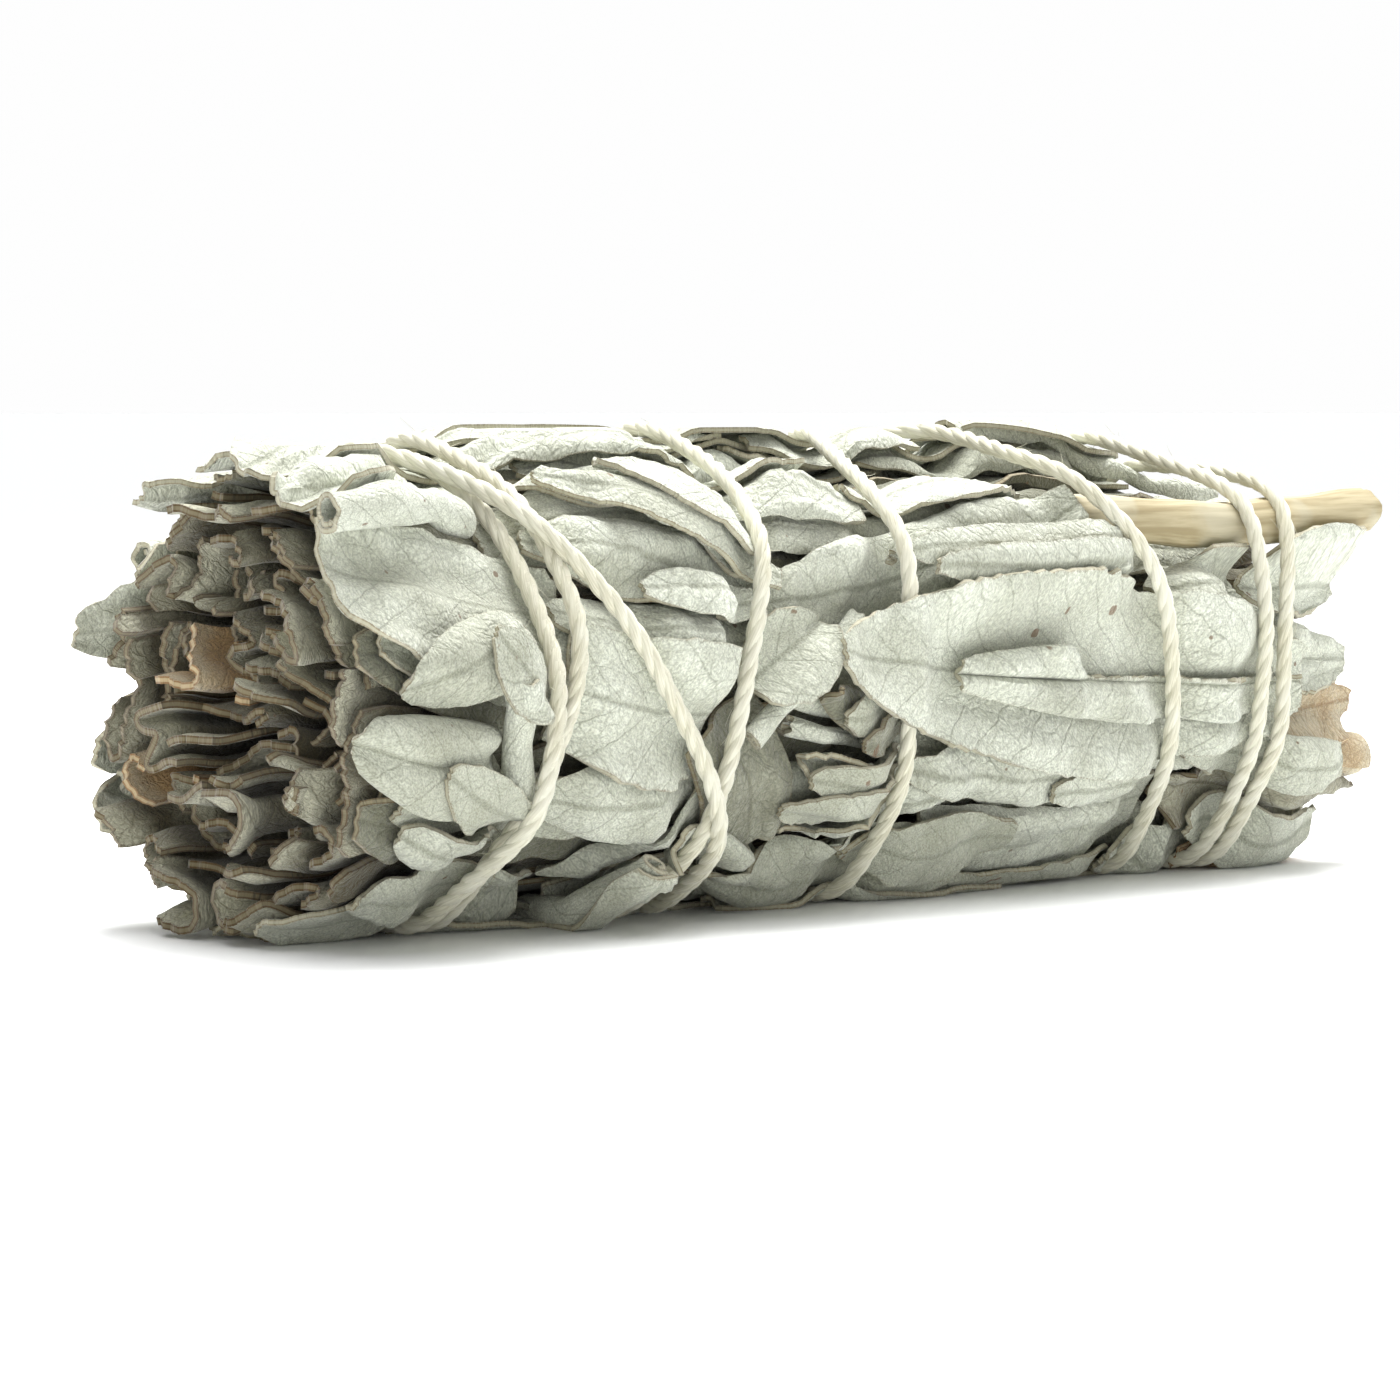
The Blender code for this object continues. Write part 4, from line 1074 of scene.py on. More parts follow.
for k, (tip_x, tip_angle, base_x, base_angle, breadth, bow) in enumerate(SIDE_LEAVES):
    piece = lay_leaf(
        f"side_blade_{k + 1:02d}", (tip_x, tip_angle), (base_x, base_angle), breadth, bow=bow, cup=0.35,
        left=(0.25, 0.5, 150, k % 2), right=(0.2, 0.5, 120, k % 3), tone=0.55, material=INNER, seed=20 + k,
        most=17.2, spacing=0.85)
    keep(piece, "side_leaf", f"side_leaf_{k + 1:02d}")
print("side leaves:", len(SIDE_LEAVES))

# %% [markdown]
# The back, the underside and the gaps between the larger leaves are filled with scattered leaves of many
# sizes. A seeded random source draws their places and shapes, so that every run gives the same bundle. Even
# steps of a share of the range, with a little noise, cover it better than free random places, which leave
# holes.

# %% Scattered leaves
# How a blade's edges roll: a share of the half breadth, a radius, degrees, and up (1) or under (0).
ROLLED = {"left": (0.55, 0.75, 215, 0), "right": (0.50, 0.7, 200, 0)}
PILLOW = {"left": (0.42, 0.95, 165, 0), "right": (0.38, 0.85, 150, 0)}
CURLED = {"left": (0.40, 0.9, 110, 0), "right": (0.30, 0.9, 85, 1)}
CRUMPLED = {"left": (0.5, 0.8, 150, 1), "right": (0.4, 0.8, 120, 0), "wave": 0.75, "flare": 0.8}
STYLES = ({}, PILLOW, ROLLED, CURLED)
EVEN_ANGLES, EVEN_PLACES = 0.7549, 0.5698  # shares whose multiples spread evenly from 0 to 1
SCATTER_START, SCATTER_SPAN = -53.0, 103.0


def scatter(name, count, low, high, tones, seed, most):
    """Leaves spread evenly over a range of angles and the whole length, up to the radius most."""
    rng = np.random.default_rng(seed)
    for k in range(count):
        angle = low + (high - low) * ((k * EVEN_ANGLES + rng.uniform(0, 0.08)) % 1)
        length = rng.uniform(16, 34)
        tip = SCATTER_START + (SCATTER_SPAN - length) * ((k * EVEN_PLACES + rng.uniform(0, 0.08)) % 1)
        base = (tip + length, angle + rng.uniform(-9, 9))
        piece = lay_leaf(
            f"{name}_{k + 1:02d}", (tip, angle), base, rng.uniform(5, 9.5), bow=rng.uniform(-0.8, 0.8),
            wave=rng.uniform(0.15, 0.4), tone=rng.uniform(*tones), seed=seed + k, spacing=0.8, most=most,
            **STYLES[rng.integers(len(STYLES))])
        keep(piece, "outer_leaf")


# The lower course and the leaves in the gaps take darker tones: painted shade.
scatter("lower_scatter", 26, 78, 285, (0.25, 0.6), 500, 16.9)
scatter("gap_scatter", 16, -75, 70, (0.35, 0.65), 540, 16.9)
print("pieces so far:", len(pieces))

# %% [markdown]
# The top stem lies on the scattered leaves, and only the outer leaves cover it. It is straight and stiff,
# so it lies at the height of the highest leaf under it. It is added to the map as half a tube, which the
# leaves then bend over.

# %% Top stem
TOP_STEM_ROUTE = ((18.0, 41.0), (26.0, 39.5), (34.0, 37.5), (43.0, 38.5), (53.2, 41.0))
TOP_STEM_RADIUS = 1.9
stem_x = np.linspace(18.0, 53.6, 30)
stem_angle = curve_through(TOP_STEM_ROUTE, stem_x)
highest = max(reach.under(stem_x, stem_angle + turn, 2).max() for turn in (-6, 0, 6))
stem_height = highest + TOP_STEM_RADIUS + 0.1
add_stem("top_stem", [(x, a, stem_height) for x, a in zip(stem_x, stem_angle)], TOP_STEM_RADIUS, "stem_4", 5)
around = np.linspace(-1, 1, 13)[None, :]
half_tube = stem_height + TOP_STEM_RADIUS * np.sqrt(1 - 0.95 * around**2)
around = np.degrees(TOP_STEM_RADIUS * around / stem_height)
reach.add(to_points(stem_x[:, None], stem_angle[:, None] + around, half_tube))
print("top stem:", round(stem_height, 1), "mm out")

# %% [markdown]
# ## Outer leaves
# These are the leaves in full view. Each at the front follows one leaf of the photographed bundle: some lie
# flat, some have their edges rolled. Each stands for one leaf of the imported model, as the two lowest blades
# do, on which the bundle rests.

# %% Outer leaves that stand for nodes
# Each row gives the tip and the base as x and angle, the breadth, and the blade's own shape.
OUTER_LEAVES = (
    (-53.8, 34.0, -33.0, 20.0, 10.5, {"flare": 1.2, "cup": 0.5, "part": (0.1, 0.86), "tone": 0.02}),
    (-35.0, 3.0, -21.0, -6.0, 9.4, {"part": (0.30, 0.72), "crease": 0.15, "tone": 0.0, "lift": 0.3}),
    (-35.0, 21.0, -12.0, 11.0, 6.6, {**PILLOW, "tone": 0.05}),
    (-35.0, 42.0, -12.0, 26.0, 6.5, {**CURLED, "tone": 0.08}),
    (-29.0, 76.0, -2.0, 48.0, 8.0, {**PILLOW, "tone": 0.08}),
    (-36.0, -26.0, -20.0, -20.0, 6.5, {**PILLOW, "tone": 0.1}),
    (-30.0, -60.0, -19.0, -22.0, 6.0, {**ROLLED, "tone": 0.15}),
    (-15.0, -42.0, -20.0, -8.0, 9.0, {"part": (0.3, 0.9), "flare": 0.6, "tone": 0.15, "material": INNER}),
    (-15.0, 22.0, 18.0, 40.0, 8.0, {**PILLOW, "tone": 0.05}),
    (4.0, -50.0, 30.0, -46.0, 8.5, {**CURLED, "part": (0.1, 0.85), "tone": 0.1}),
    (20.0, 16.0, 45.0, 14.0, 7.5, {**ROLLED, "tone": 0.05}),
    (-53.0, -8.0, -40.0, -14.0, 9.0, {**ROLLED, "flare": 0.8, "tone": 0.55}),
    (-50.0, 66.0, -34.0, 78.0, 9.0, {**CURLED, "tone": 0.1, "most": 17.0}),
    (-53.0, 122.0, -18.0, 114.0, 9.0, {**PILLOW, "flare": 0.6, "tone": 0.15}),
    (-53.8, 166.0, -20.0, 158.0, 10.0, {**CURLED, "flare": 0.6, "tone": 0.15}),
    (-53.0, 212.0, -22.0, 206.0, 9.5, {**PILLOW, "flare": 0.4, "tone": 0.15}),
    (-24.0, 136.0, 22.0, 126.0, 9.5, {**PILLOW, "tone": 0.1}),
    (-16.0, 186.0, 30.0, 176.0, 10.0, {**CURLED, "tone": 0.15}),
    (8.0, 124.0, 50.0, 124.0, 9.0, {**PILLOW, "tone": 0.1}),
)
LAID_FIRST = (0, 2, 3, 5, 1, 4)  # so that the second blade lies over its neighbours
for k in (*LAID_FIRST, *range(len(LAID_FIRST), len(OUTER_LEAVES))):
    tip_x, tip_angle, base_x, base_angle, breadth, shape = OUTER_LEAVES[k]
    piece = lay_leaf(
        f"outer_blade_{k + 1:02d}", (tip_x, tip_angle), (base_x, base_angle), breadth,
        bow=0.6, seed=60 + k, **shape)
    keep(piece, "outer_leaf", f"outer_leaf_{k + 1:02d}")

REST_LEAVES = ((-41.0, 268.0, -20.0, 271.0, 10.5), (-3.0, 269.0, 27.0, 270.0, 10.5))
for k, (tip_x, tip_angle, base_x, base_angle, breadth) in enumerate(REST_LEAVES):
    piece = lay_leaf(
        f"lowest_blade_{k + 1}", (tip_x, tip_angle), (base_x, base_angle), breadth, lift=1.6,
        tone=0.3, seed=90 + k, **PILLOW)
    keep(piece, "outer_leaf", f"rest_leaf_{k + 1}")
print("outer leaves:", len(OUTER_LEAVES) + len(REST_LEAVES))

# %% [markdown]
# Some leaves are rolled up lengthwise into tubes. A tube is a spiral drawn along a line of places: its
# radius shrinks a little with each turn, so the sheet lies inside itself and doesn't cut through. Where the
# string crosses it, the tube is pressed oval.

# %% Rolled leaves
ROLL_SPACING = 0.6
ROLL_POINTS = 26  # round one turn
ROLL_TAPER = 0.15
TURN_GAP = 0.14


def roll_leaf(name, places, size, turns, tone, seed, first, material=OUTER):
    """A leaf rolled into a tube of radius size along (x, angle) places, from its first angle inwards."""
    rng = np.random.default_rng(seed)
    x, angle = np.array(places, float).T
    line, run = even_points(np.stack([x, np.radians(angle) * ARC_RADIUS], axis=1), ROLL_SPACING, 10, 1)
    x, angle = rounded(line, 6).T
    angle = np.degrees(angle / ARC_RADIUS)
    rows, columns = len(run) - 1, int(ROLL_POINTS * turns)
    height = reach.under(x, angle, 2)
    for _ in range(8):
        height[1:-1] = np.maximum(height[1:-1], (height[:-2] + height[2:]) / 2)
    loose = 0.72 + 0.28 * looseness(x, angle)
    grow = size * (1 + 0.10 * np.sin(0.7 * run + rng.uniform(0, 6)) - ROLL_TAPER * run / run[-1])
    centre = to_points(x, angle, np.minimum(height + grow * loose, bound(angle, grow + 0.1)) + LEAF_WALL / 2)
    # The spiral: share counts the turns, swing is its radius, and out and side span its section.
    out = to_points(0 * x, angle, np.ones_like(x)) - to_points(0 * x, angle, np.zeros_like(x))
    way = np.gradient(centre, axis=0)
    side = np.cross(way, out)
    side /= np.linalg.norm(side, axis=1, keepdims=True)
    share = np.linspace(0, 1, columns + 1)[None, :] * turns
    turn = np.radians(first) + 2 * math.pi * share
    swing = grow[:, None] - (LEAF_WALL + TURN_GAP) * share * (1 + 0.2 * np.sin(run[:, None] * 0.9 + 2 * turn))
    swing = np.maximum(swing, 0.12)
    points = centre[:, None, :] + (swing * np.cos(turn))[..., None] * side[:, None, :]
    points += (swing * np.sin(turn) * loose[:, None])[..., None] * out[:, None, :]
    ragged = 0.18 * np.sin(5 * turn + rng.uniform(0, 6)) * np.exp(-run[:, None] / 0.7)
    points += ragged[..., None] * (way / np.linalg.norm(way, axis=1, keepdims=True))[:, None, :]
    points[..., 0] = np.clip(points[..., 0], -HALF_LENGTH, HALF_LENGTH)
    _, angle, radius = to_places(points)
    radius = np.minimum(radius, bound(angle, LEAF_WALL / 2 + 0.02))
    reach.add(to_points(points[..., 0], angle, radius + LEAF_WALL / 2))
    obj, row, column = leaf_grid(name, rows, columns)
    along, across = np.meshgrid(run, (turn - turn.mean())[0] * size, indexing="ij")
    edge = np.broadcast_to(share[:, ::-1] * 2 * math.pi * size, along.shape)
    values = {
        "leaf": np.stack([along, across, np.full_like(along, rng.uniform(0, 50))], axis=-1),
        "rim": np.minimum(np.minimum(along, run[-1] - along), edge),
        "tone": tone,
    }
    return thicken(obj, row, column, to_points(points[..., 0], angle, radius), LEAF_WALL, values, material)


# Each row gives places as x and angle, the tube's radius, its turns, its tone, and the angle where it starts.
ROLLED_LEAVES = (
    (((-54.0, 42.0), (-47.0, 45.0), (-39.0, 50.0)), 1.55, 1.25, 0.0, -100.0),
    (((-40.5, 4.0), (-40.0, -10.0), (-39.0, -24.0)), 1.35, 1.2, 0.05, -60.0),
    (((-6.0, 16.0), (-11.5, 2.0), (-17.5, -13.0)), 0.95, 1.3, 0.2, -80.0),
    (((-12.5, -11.0), (-7.5, -14.0), (-3.0, -18.0)), 0.8, 1.2, 0.3, -90.0),
    (((-2.0, 31.0), (10.0, 30.5), (22.0, 30.0)), 0.7, 1.2, 0.1, -90.0),
    (((-27.5, -78.0), (-28.0, -56.0), (-26.5, -36.0)), 1.3, 1.1, 0.25, 60.0),
    (((-47.5, 152.0), (-42.0, 150.0), (-30.0, 146.0)), 1.4, 1.2, 0.1, -60.0),
    (((-30.0, 160.0), (-12.0, 150.0), (6.0, 152.0)), 1.1, 1.2, 0.2, -60.0),
    (((16.0, 200.0), (30.0, 196.0), (50.0, 200.0)), 1.2, 1.2, 0.2, -60.0),
    (((20.0, 96.0), (34.0, 100.0), (51.0, 96.0)), 1.1, 1.2, 0.1, -60.0),
    (((-47.5, 238.0), (-40.0, 232.0), (-24.0, 236.0)), 1.1, 1.2, 0.2, -60.0),
)
for k, (places, size, turns, tone, first) in enumerate(ROLLED_LEAVES):
    keep(roll_leaf(f"rolled_leaf_{k + 1:02d}", places, size, turns, tone, 300 + k, first), "outer_leaf")
LEAF_BASES = (
    (((40.0, -32.0), (47.0, -35.0), (54.0, -36.0)), 2.1, 1.15, 0.1, 100.0),
    (((42.0, 150.0), (48.0, 146.0), (54.0, 148.0)), 1.7, 1.2, 0.2, 100.0),
)
for k, (places, size, turns, tone, first) in enumerate(LEAF_BASES):
    keep(roll_leaf(f"leaf_base_{k + 1}", places, size, turns, tone, 320 + k, first, TAN), "outer_leaf")
print("rolled leaves:", len(ROLLED_LEAVES) + len(LEAF_BASES))

# %% [markdown]
# Between the large leaves lie many small ones: thin edges, rolled strips and crumpled scraps. They make the
# dense layered look of the real bundle, so each that the photograph shows has its own row. A finer grid
# keeps them crisp.

# %% Small leaves in view
# Their tones are darker low on the bundle and in the gaps between larger leaves: painted shade.
SMALL_LEAVES = (
    (-54.0, 58.0, -43.0, 62.0, 6.0, {**CRUMPLED, "flare": 0.3, "tone": 0.0, "most": 18.2}),
    (-52.5, 97.0, -42.0, 92.0, 5.5, {**CRUMPLED, "wave": 0.5, "flare": 0.1, "tone": 0.0, "most": 17.0}),
    (-49.5, 4.0, -39.0, 16.0, 5.2, {**PILLOW, "tone": 0.3}),
    (-43.0, 14.0, -38.0, -2.0, 4.5, {**CURLED, "tone": 0.6}),
    (-47.0, -14.0, -39.0, -26.0, 4.2, {**CURLED, "tone": 0.7}),
    (-48.5, -30.0, -38.0, -40.0, 5.0, {**ROLLED, "tone": 0.35}),
    (-49.0, -52.0, -36.0, -56.0, 5.5, {**PILLOW, "tone": 0.4}),
    (-27.0, 25.0, -15.0, 22.0, 4.0, {**ROLLED, "tone": 0.05}),
    (-33.0, 64.0, -14.0, 30.0, 4.0, {**ROLLED, "tone": 0.25}),
    (-32.0, 58.0, -13.0, 27.0, 3.5, {**CURLED, "tone": 0.3}),
    (-26.0, 60.0, -14.0, 34.0, 4.5, {**PILLOW, "tone": 0.1}),
    (-33.0, 84.0, -6.0, 62.0, 6.0, {**PILLOW, "tone": 0.1}),
    (-26.0, -82.0, -27.0, -36.0, 6.5, {**CURLED, "tone": 0.4}),
    (-10.0, -60.0, -24.0, -34.0, 5.0, {**ROLLED, "tone": 0.5}),
    (-10.0, 15.0, -17.0, 0.0, 6.0, {"cup": 0.4, "tone": 0.45}),
    (-11.0, -2.0, -2.0, -12.0, 3.4, {**ROLLED, "tone": 0.6, "material": INNER}),
    (-9.5, -8.0, -3.5, -5.0, 3.0, {**CURLED, "tone": 0.7}),
    (-8.0, -14.0, -1.0, -9.0, 2.6, {**CRUMPLED, "tone": 0.3, "material": INNER}),
    (-12.0, -19.0, -5.0, -24.0, 3.0, {**CRUMPLED, "tone": 0.6}),
    (-12.0, -22.0, 0.0, -22.0, 3.6, {**ROLLED, "tone": 0.8}),
    (-14.0, -30.0, 3.0, -28.0, 4.0, {**PILLOW, "tone": 0.75}),
    (-12.0, -45.0, 4.0, -30.0, 4.4, {**ROLLED, "tone": 0.2}),
    (-3.0, 52.0, 16.0, 56.0, 6.0, {**PILLOW, "tone": 0.05}),
    (-2.0, 30.0, 22.0, 30.0, 3.5, {**ROLLED, "tone": 0.15}),
    (0.0, 25.0, 24.0, 25.0, 3.0, {**CURLED, "tone": 0.15}),
    (-1.0, -24.0, 22.0, -27.0, 4.4, {**PILLOW, "tone": 0.1}),
    (14.0, -30.0, 40.0, -22.0, 4.5, {**ROLLED, "tone": 0.2}),
    (2.0, -66.0, 28.0, -64.0, 6.5, {**PILLOW, "tone": 0.5}),
    (-18.0, -56.0, 8.0, -50.0, 8.0, {**PILLOW, "tone": 0.6}),
    (-12.0, -70.0, 16.0, -68.0, 8.0, {**CURLED, "tone": 0.6}),
    (-4.0, -48.0, 12.0, -42.0, 5.0, {**CURLED, "tone": 0.7}),
    (24.0, -76.0, 51.0, -74.0, 9.0, {**PILLOW, "tone": 0.3, "lift": 1.2}),
    (27.0, -60.0, 51.0, -62.0, 8.0, {**PILLOW, "tone": 0.25, "lift": 0.8}),
    (18.0, -92.0, 50.0, -92.0, 9.0, {**PILLOW, "tone": 0.4, "lift": 1.2}),
    (32.0, -18.0, 53.8, -19.0, 6.0, {**CURLED, "tone": 0.1, "material": TAN}),
    (30.0, -40.0, 53.0, -46.0, 7.5, {**PILLOW, "tone": 0.35, "material": FOLDED}),
    (36.0, -62.0, 52.0, -66.0, 6.0, {**CURLED, "tone": 0.4, "material": TAN}),
    (26.0, 20.0, 39.0, 22.0, 6.0, {**PILLOW, "tone": 0.0}),
    (30.0, 6.0, 42.0, 3.0, 5.5, {**PILLOW, "tone": 0.0}),
    (38.0, 4.0, 52.5, -3.0, 6.5, {**CURLED, "flare": 0.6, "tone": 0.1}),
    (38.0, 22.0, 52.0, 27.0, 6.0, {**CURLED, "flare": 0.5, "tone": 0.1}),
    (34.0, -48.0, 50.0, -52.0, 5.5, {**CURLED, "tone": 0.2}),
    (30.0, -24.0, 48.0, -28.0, 5.0, {**ROLLED, "tone": 0.45}),
    (36.0, 62.0, 51.0, 66.0, 7.0, {**CURLED, "flare": 0.5, "tone": 0.1}),
)
for k, (tip_x, tip_angle, base_x, base_angle, breadth, shape) in enumerate(SMALL_LEAVES):
    piece = lay_leaf(
        f"small_leaf_{k + 1:02d}", (tip_x, tip_angle), (base_x, base_angle), breadth, bow=0.3, seed=120 + k,
        spacing=0.55, **shape)
    keep(piece, "outer_leaf")
print("small leaves:", len(SMALL_LEAVES))

# %% [markdown]
# The back and the underside get a last course of pale leaves, as the front has. The photograph doesn't show
# them, so they are scattered too.

# %% Top course at the back
scatter("upper_scatter", 24, 80, 262, (0.0, 0.35), 580, 18.8)
# The underside takes darker tones: painted shade.
scatter("under_scatter", 10, 252, 290, (0.2, 0.5), 620, 18.8)
print("pieces so far:", len(pieces))

# %% [markdown]
# ## Broad front leaf
# The broadest leaf lies over one turn of string and under the next, so the string's height has to be known
# before that leaf is laid. A taut string touches only the high places and runs straight between them: it
# starts on the leaves, is raised to the chord between its neighbours again and again, and climbs over its
# own earlier turns.

# %% Height of the string
STRING_RADIUS = 0.7
STRING_GAP = 0.05
CHORD_SPANS = (1, 2, 4, 8)
TAUT_ROUNDS = 40


def string_heights(x, angle):
    """Radius of the taut string's middle at each point, clear of the leaves and of its own turns."""
    count = len(x)
    clear = STRING_RADIUS + STRING_GAP
    need = np.zeros(count)
    for along, across in itertools.product((-0.8, -0.4, 0, 0.4, 0.8), repeat=2):
        off = math.hypot(along, across) * clear
        if off < clear:
            over = reach.under(x + along * clear, angle + math.degrees(across * clear / ARC_RADIUS), 0)
            need = np.maximum(need, over + math.sqrt(clear**2 - off**2))
    space = 2 * STRING_RADIUS + STRING_GAP
    height = need.copy()
    step = math.radians(abs(angle[1] - angle[0]))
    turn = (angle[:, None] - angle[None, :] + 180) % 360 - 180
    near = np.hypot(x[:, None] - x[None, :], np.radians(turn) * ARC_RADIUS)
    later = np.arange(count)[:, None] - np.arange(count)[None, :] > count / 20
    crossing = later & (near < space)
    rise = np.sqrt(np.clip(space**2 - near**2, 0, None))
    for _ in range(TAUT_ROUNDS):
        for span in CHORD_SPANS:
            chord_height = math.cos(step * span) * (height[: -2 * span] + height[2 * span:]) / 2
            height[span:-span] = np.maximum(height[span:-span], chord_height)
        over_self = np.where(crossing, height[None, :] + rise, 0).max(axis=1)
        height = np.maximum(height, over_self)
    for _ in range(3):
        height[1:-1] = np.maximum(need[1:-1], (height[:-2] + 2 * height[1:-1] + height[2:]) / 4)
    return height


# The front leaf lies over the string between these two x, up to this angle from the front.
FRONT_OVER_STRING = (-8.0, 6.0, 40.0)
before_front = string_heights(string_x, string_angle)
low, high, most_angle = FRONT_OVER_STRING
wrapped = (string_angle + 180) % 360 - 180
covered = (string_x > low) & (string_x < high) & (np.abs(wrapped) < most_angle)
for turn in np.linspace(-1, 1, 7):
    ridge = before_front + STRING_RADIUS * math.sqrt(1 - 0.95 * turn**2)
    places = to_points((string_x + STRING_RADIUS * turn)[:, None], string_angle[:, None], ridge[:, None])
    reach.add(np.repeat(places[covered], 2, axis=1))
print("string lies", round(float(before_front.min()), 1), "to", round(float(before_front.max()), 1), "mm out")

# %% [markdown]
# The front leaf is stiff and nearly flat, and a little thicker than the rest. On it lies a narrow leaf with
# a deep crease. Near its tip it is cut away on one side to a hook that stands up.

# %% Front leaves
FRONT_LEAVES = {
    "front": ((-10.5, 7.0), (43.0, -6.0), 13.2, {
        "bow": 0.6, "crease": 0.12, "wave": 0.16, "cup": 0.1, "tone": 0.0, "seed": 201, "most": 19.4,
        "stiffness": 30, "thickness": 0.46, "part": (0.0, 1.02), "spacing": 0.6}),
    "hooked": ((4.0, 0.5), (42.0, -6.0), 6.2, {
        "bow": 0.3, "left": (0.3, 0.5, 120, 0), "right": (0.35, 0.6, 150, 0), "crease": 1.0,
        "crease_width": 0.3, "lift": 0.9, "tone": 0.12, "seed": 202, "most": 20.3, "wave": 0.15,
        "part": (0.1, 0.97), "spacing": 0.4, "trim": (0.74, 0.12, 1.5)}),
}
for which, (tip, base, breadth, shape) in FRONT_LEAVES.items():
    keep(lay_leaf(f"{which}_leaf", tip, base, breadth, **shape), "outer_leaf", f"outer_leaf_{which}")
print("front leaves:", len(FRONT_LEAVES))

# %% [markdown]
# ## String
# The string is cream cotton of three plies, dull and a little fuzzy. Its fibres run along each ply, so the
# noise that draws them is stretched along the strand: "strand" holds each vertex's place along and round
# its ply.

# %% String material
def make_string_material():
    """Cream cotton with fine lines along the strand and paler patches."""
    material = bpy.data.materials.new("cream cotton")
    material.use_nodes = True
    tree = material.node_tree
    shader = tree.nodes["Principled BSDF"]
    strand = node_in(tree, "ShaderNodeAttribute", attribute_name="strand").outputs["Vector"]
    lines = node_in(tree, "ShaderNodeTexNoise", Scale=1.0, Detail=3.0)
    tree.links.new(strand, lines.inputs["Vector"])
    where = node_in(tree, "ShaderNodeTexCoord")
    patch = node_in(tree, "ShaderNodeTexNoise", Scale=260.0, Detail=2.0)
    tree.links.new(where.outputs["Object"], patch.inputs["Vector"])
    fibres = range_in(tree, lines.outputs["Fac"], 0.35, 0.65)
    colour = mix_in(tree, fibres, (0.76, 0.74, 0.60), (0.57, 0.545, 0.41))
    patches = range_in(tree, patch.outputs["Fac"], 0.4, 0.65, 0, 0.5)
    colour = mix_in(tree, patches, colour, (0.80, 0.79, 0.68))
    tree.links.new(colour, shader.inputs["Base Color"])
    relief = node_in(tree, "ShaderNodeBump", Strength=0.5, Distance=0.0001)
    tree.links.new(lines.outputs["Fac"], relief.inputs["Height"])
    tree.links.new(relief.outputs[0], shader.inputs["Normal"])
    shader.inputs["Roughness"].default_value = 0.95
    shader.inputs["Sheen Weight"].default_value = 0.3
    return material


COTTON = make_string_material()
print("string material:", COTTON.name)

# %% [markdown]
# Each ply is a tube that winds round the string's middle line. A bump pattern could fake the twist, but it
# would be lost at the outline. The two directions across the line are carried along it without spinning,
# so that the twist stays even round every bend.

# %% Frames along a line
def frames_along(points):
    """Unit vectors along a line and two across it that don't spin."""
    way = np.gradient(points, axis=0)
    way /= np.linalg.norm(way, axis=1, keepdims=True)
    side = np.cross(way, (0.0, 0.0, 1.0))
    side[np.linalg.norm(side, axis=1) < 0.2] = (1.0, 0.0, 0.0)
    across = np.empty_like(way)
    last = side[0]
    for k, along in enumerate(way):
        last = last - along * (last @ along)
        last = last / np.linalg.norm(last)
        across[k] = last
    return way, across, np.cross(way, across)


# %% Twisted string
PLIES = 3
PLY_PITCH = 5.2
PLY_SIDES = 7
PLY_RADIUS = 0.44
PLY_OFFSET = 0.23
STRING_SPACING = 0.32


def add_ply(name, ply, points, run, one, two):
    """One ply as a tube, with each vertex's place on its strand."""
    turn = 2 * math.pi * (run / PLY_PITCH + ply / PLIES)
    centre = points + PLY_OFFSET * (np.cos(turn)[:, None] * one + np.sin(turn)[:, None] * two)
    obj, row, column = leaf_grid(name, len(points) - 1, PLY_SIDES)
    round_turn = 2 * math.pi * column / PLY_SIDES
    size = (PLY_RADIUS * (1 + 0.05 * np.sin(run * 1.7 + ply)))[row]
    place = centre[row] + size[:, None] * (
        np.cos(round_turn)[:, None] * one[row] + np.sin(round_turn)[:, None] * two[row])
    obj.data.vertices.foreach_set("co", (place * MM).ravel())
    strand = np.stack([run[row] * 0.5, 3.0 * round_turn, np.full(len(row), 9.0 * ply)], axis=1)
    attribute = obj.data.attributes.new("strand", "FLOAT_VECTOR", "POINT")
    attribute.data.foreach_set("vector", strand.ravel())
    obj.data.materials.append(COTTON)
    return obj


def twisted(name, points):
    """Plies wound round a line and joined into one mesh, and the line's length."""
    points, run = even_points(points, STRING_SPACING)
    _, one, two = frames_along(points)
    plies = [add_ply(f"{name}_ply_{ply}", ply, points, run, one, two) for ply in range(PLIES)]
    bpy.ops.object.select_all(action="DESELECT")
    for obj in plies:
        obj.select_set(True)
    bpy.context.view_layer.objects.active = plies[0]
    bpy.ops.object.join()
    whole = bpy.context.object
    whole.name = whole.data.name = name
    close_tube(whole)
    bpy.ops.object.shade_smooth()
    return whole, run[-1]


# %% [markdown]
# The string now gets its final height, over the front leaf too. Its ends meet in a knot behind the bundle:
# a trefoil line, whose three loops go over and under each other, with two short tails.

# %% String and knot
KNOT_PLACE = (40.0, 180.0)
KNOT_SIZE = 2.5
KNOT_RISE = 0.85
KNOT_TAILS = ((47.0, 190.0), (46.0, 166.0))
height = np.where(string_x < high, before_front, string_heights(string_x, string_angle))
height = rounded(np.minimum(height, bound(string_angle, STRING_RADIUS + STRING_GAP)), 4)
knot_x, knot_angle = KNOT_PLACE
middle = float(reach.under(np.array([knot_x]), np.array([knot_angle]), 4)[0]) + STRING_RADIUS + KNOT_RISE
line = to_points(string_x, string_angle, height)
line[0] = to_points(knot_x - 1.0, knot_angle + 4, middle)
line[-1] = to_points(knot_x + 1.0, knot_angle - 4, middle)
string, string_length = twisted("twisted_string", rounded(line, 2))
t = np.linspace(0, 2 * math.pi, 90)
loops = to_points(
    knot_x + KNOT_SIZE * (np.sin(t) + 2 * np.sin(2 * t)) / 3,
    knot_angle + np.degrees(KNOT_SIZE * (np.cos(t) - 2 * np.cos(2 * t)) / 3 / middle),
    middle - KNOT_RISE * np.sin(3 * t))
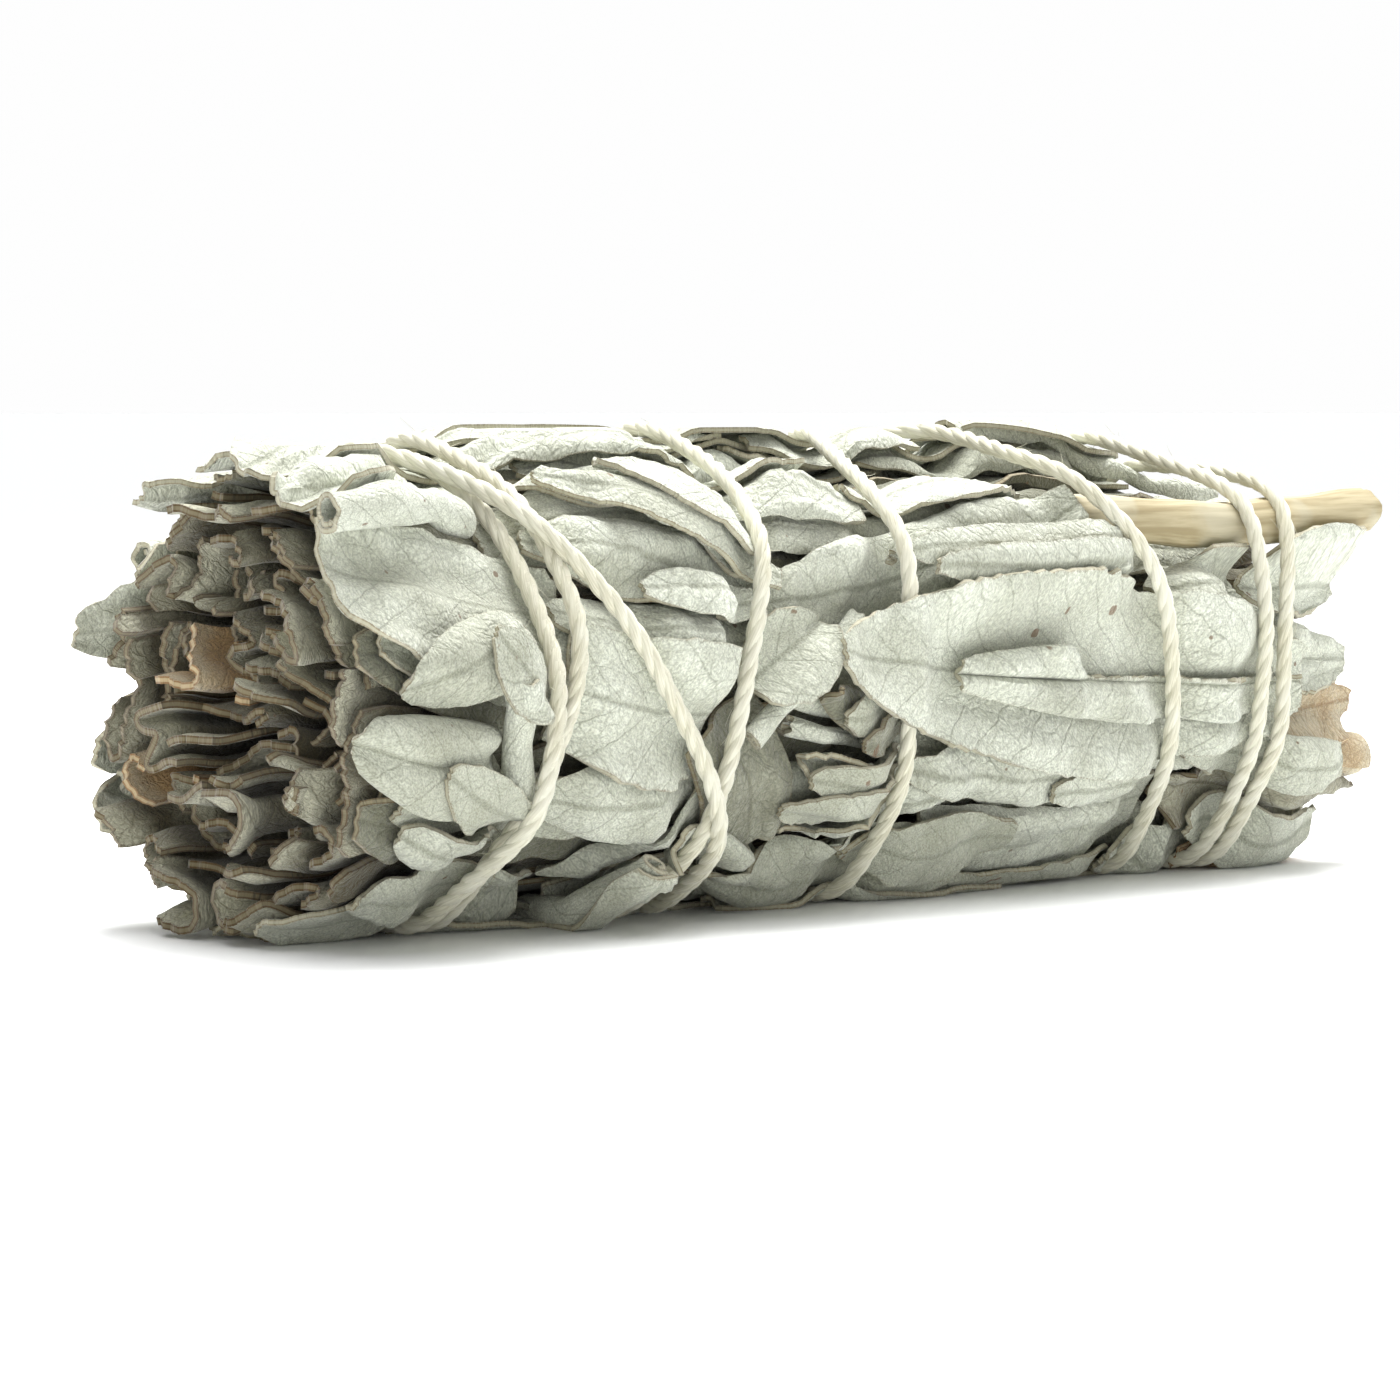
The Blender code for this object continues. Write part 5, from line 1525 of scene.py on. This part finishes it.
knot, _ = twisted("string_knot", loops)
share = np.linspace(0.15, 1, 20)
tails = []
for k, (tail_x, tail_angle) in enumerate(KNOT_TAILS):
    x, angle = knot_x + share * (tail_x - knot_x), knot_angle + share * (tail_angle - knot_angle)
    tail, _ = twisted(f"string_tail_{k + 1}", to_points(x, angle, middle + 0.3 * share))
    tails.append(tail)
print("string:", round(string_length), "mm")

# %% [markdown]
# A few fine fibres stand off cotton string, and at this size they are just in sight. Each is a thin tube of
# three sides, so that hundreds of them stay light. They are too many to model by hand, so their mesh is
# made from lists of corners and faces.

# %% Loose fibres
HAIR_POINTS = 7
HAIR_SIZES = np.linspace(0.022, 0.010, HAIR_POINTS)
HAIR_LOW, HAIR_HIGH = (-HALF_LENGTH, -20.2, 0.1), (HALF_LENGTH, 20.2, 37.8)


def add_fibres(count, seed):
    """Fine hairs that stand off the string, made as one mesh."""
    rng = np.random.default_rng(seed)
    corners, faces = [], []
    middle = (line[1:] + line[:-1]) / 2
    for _ in range(count):
        k = rng.integers(5, len(middle) - 5)
        way = middle[k + 1] - middle[k]
        way /= np.linalg.norm(way)
        away = rng.normal(size=3)
        away -= way * (away @ way)
        away /= np.linalg.norm(away)
        bend = rng.normal(size=3) * 0.3
        reach_out, sweep = rng.uniform(0.2, 0.9), rng.uniform(-1.8, 1.8)
        share = np.linspace(0, 1, HAIR_POINTS)[:, None]
        hair = middle[k] + away * (0.55 + reach_out * share) + way * sweep * share + bend * share**2
        hair = np.clip(hair, HAIR_LOW, HAIR_HIGH)
        _, one, two = frames_along(hair)
        first, last = len(corners), len(corners) + 3 * (HAIR_POINTS - 1)
        for place, a, b, thin in zip(hair, one, two, HAIR_SIZES):
            corners += [place + thin * (math.cos(t) * a + math.sin(t) * b) for t in (0, 2.094, 4.189)]
        for low in range(first, last, 3):
            faces += [(low + i, low + (i + 1) % 3, low + 3 + (i + 1) % 3, low + 3 + i) for i in range(3)]
        faces += [(first + 2, first + 1, first), (last, last + 1, last + 2)]
    mesh = bpy.data.meshes.new("string_fibres")
    mesh.from_pydata((np.array(corners) * MM).tolist(), [], faces)
    mesh.materials.append(COTTON)
    fibres = bpy.data.objects.new("string_fibres", mesh)
    bpy.context.scene.collection.objects.link(fibres)
    return fibres


fibres = add_fibres(420, 9)
for piece in (string, knot, *tails, fibres):
    keep(piece, "string", "string")
print("fibres:", len(fibres.data.vertices) // (3 * HAIR_POINTS))

# %% [markdown]
# Every visible piece rides on the one body. The triangles of all the pieces are counted.

# %% Finish
faces = sum(len(polygon.vertices) - 2 for o in pieces for polygon in o.data.polygons)
print("pieces:", len(pieces), "with", faces, "triangles")
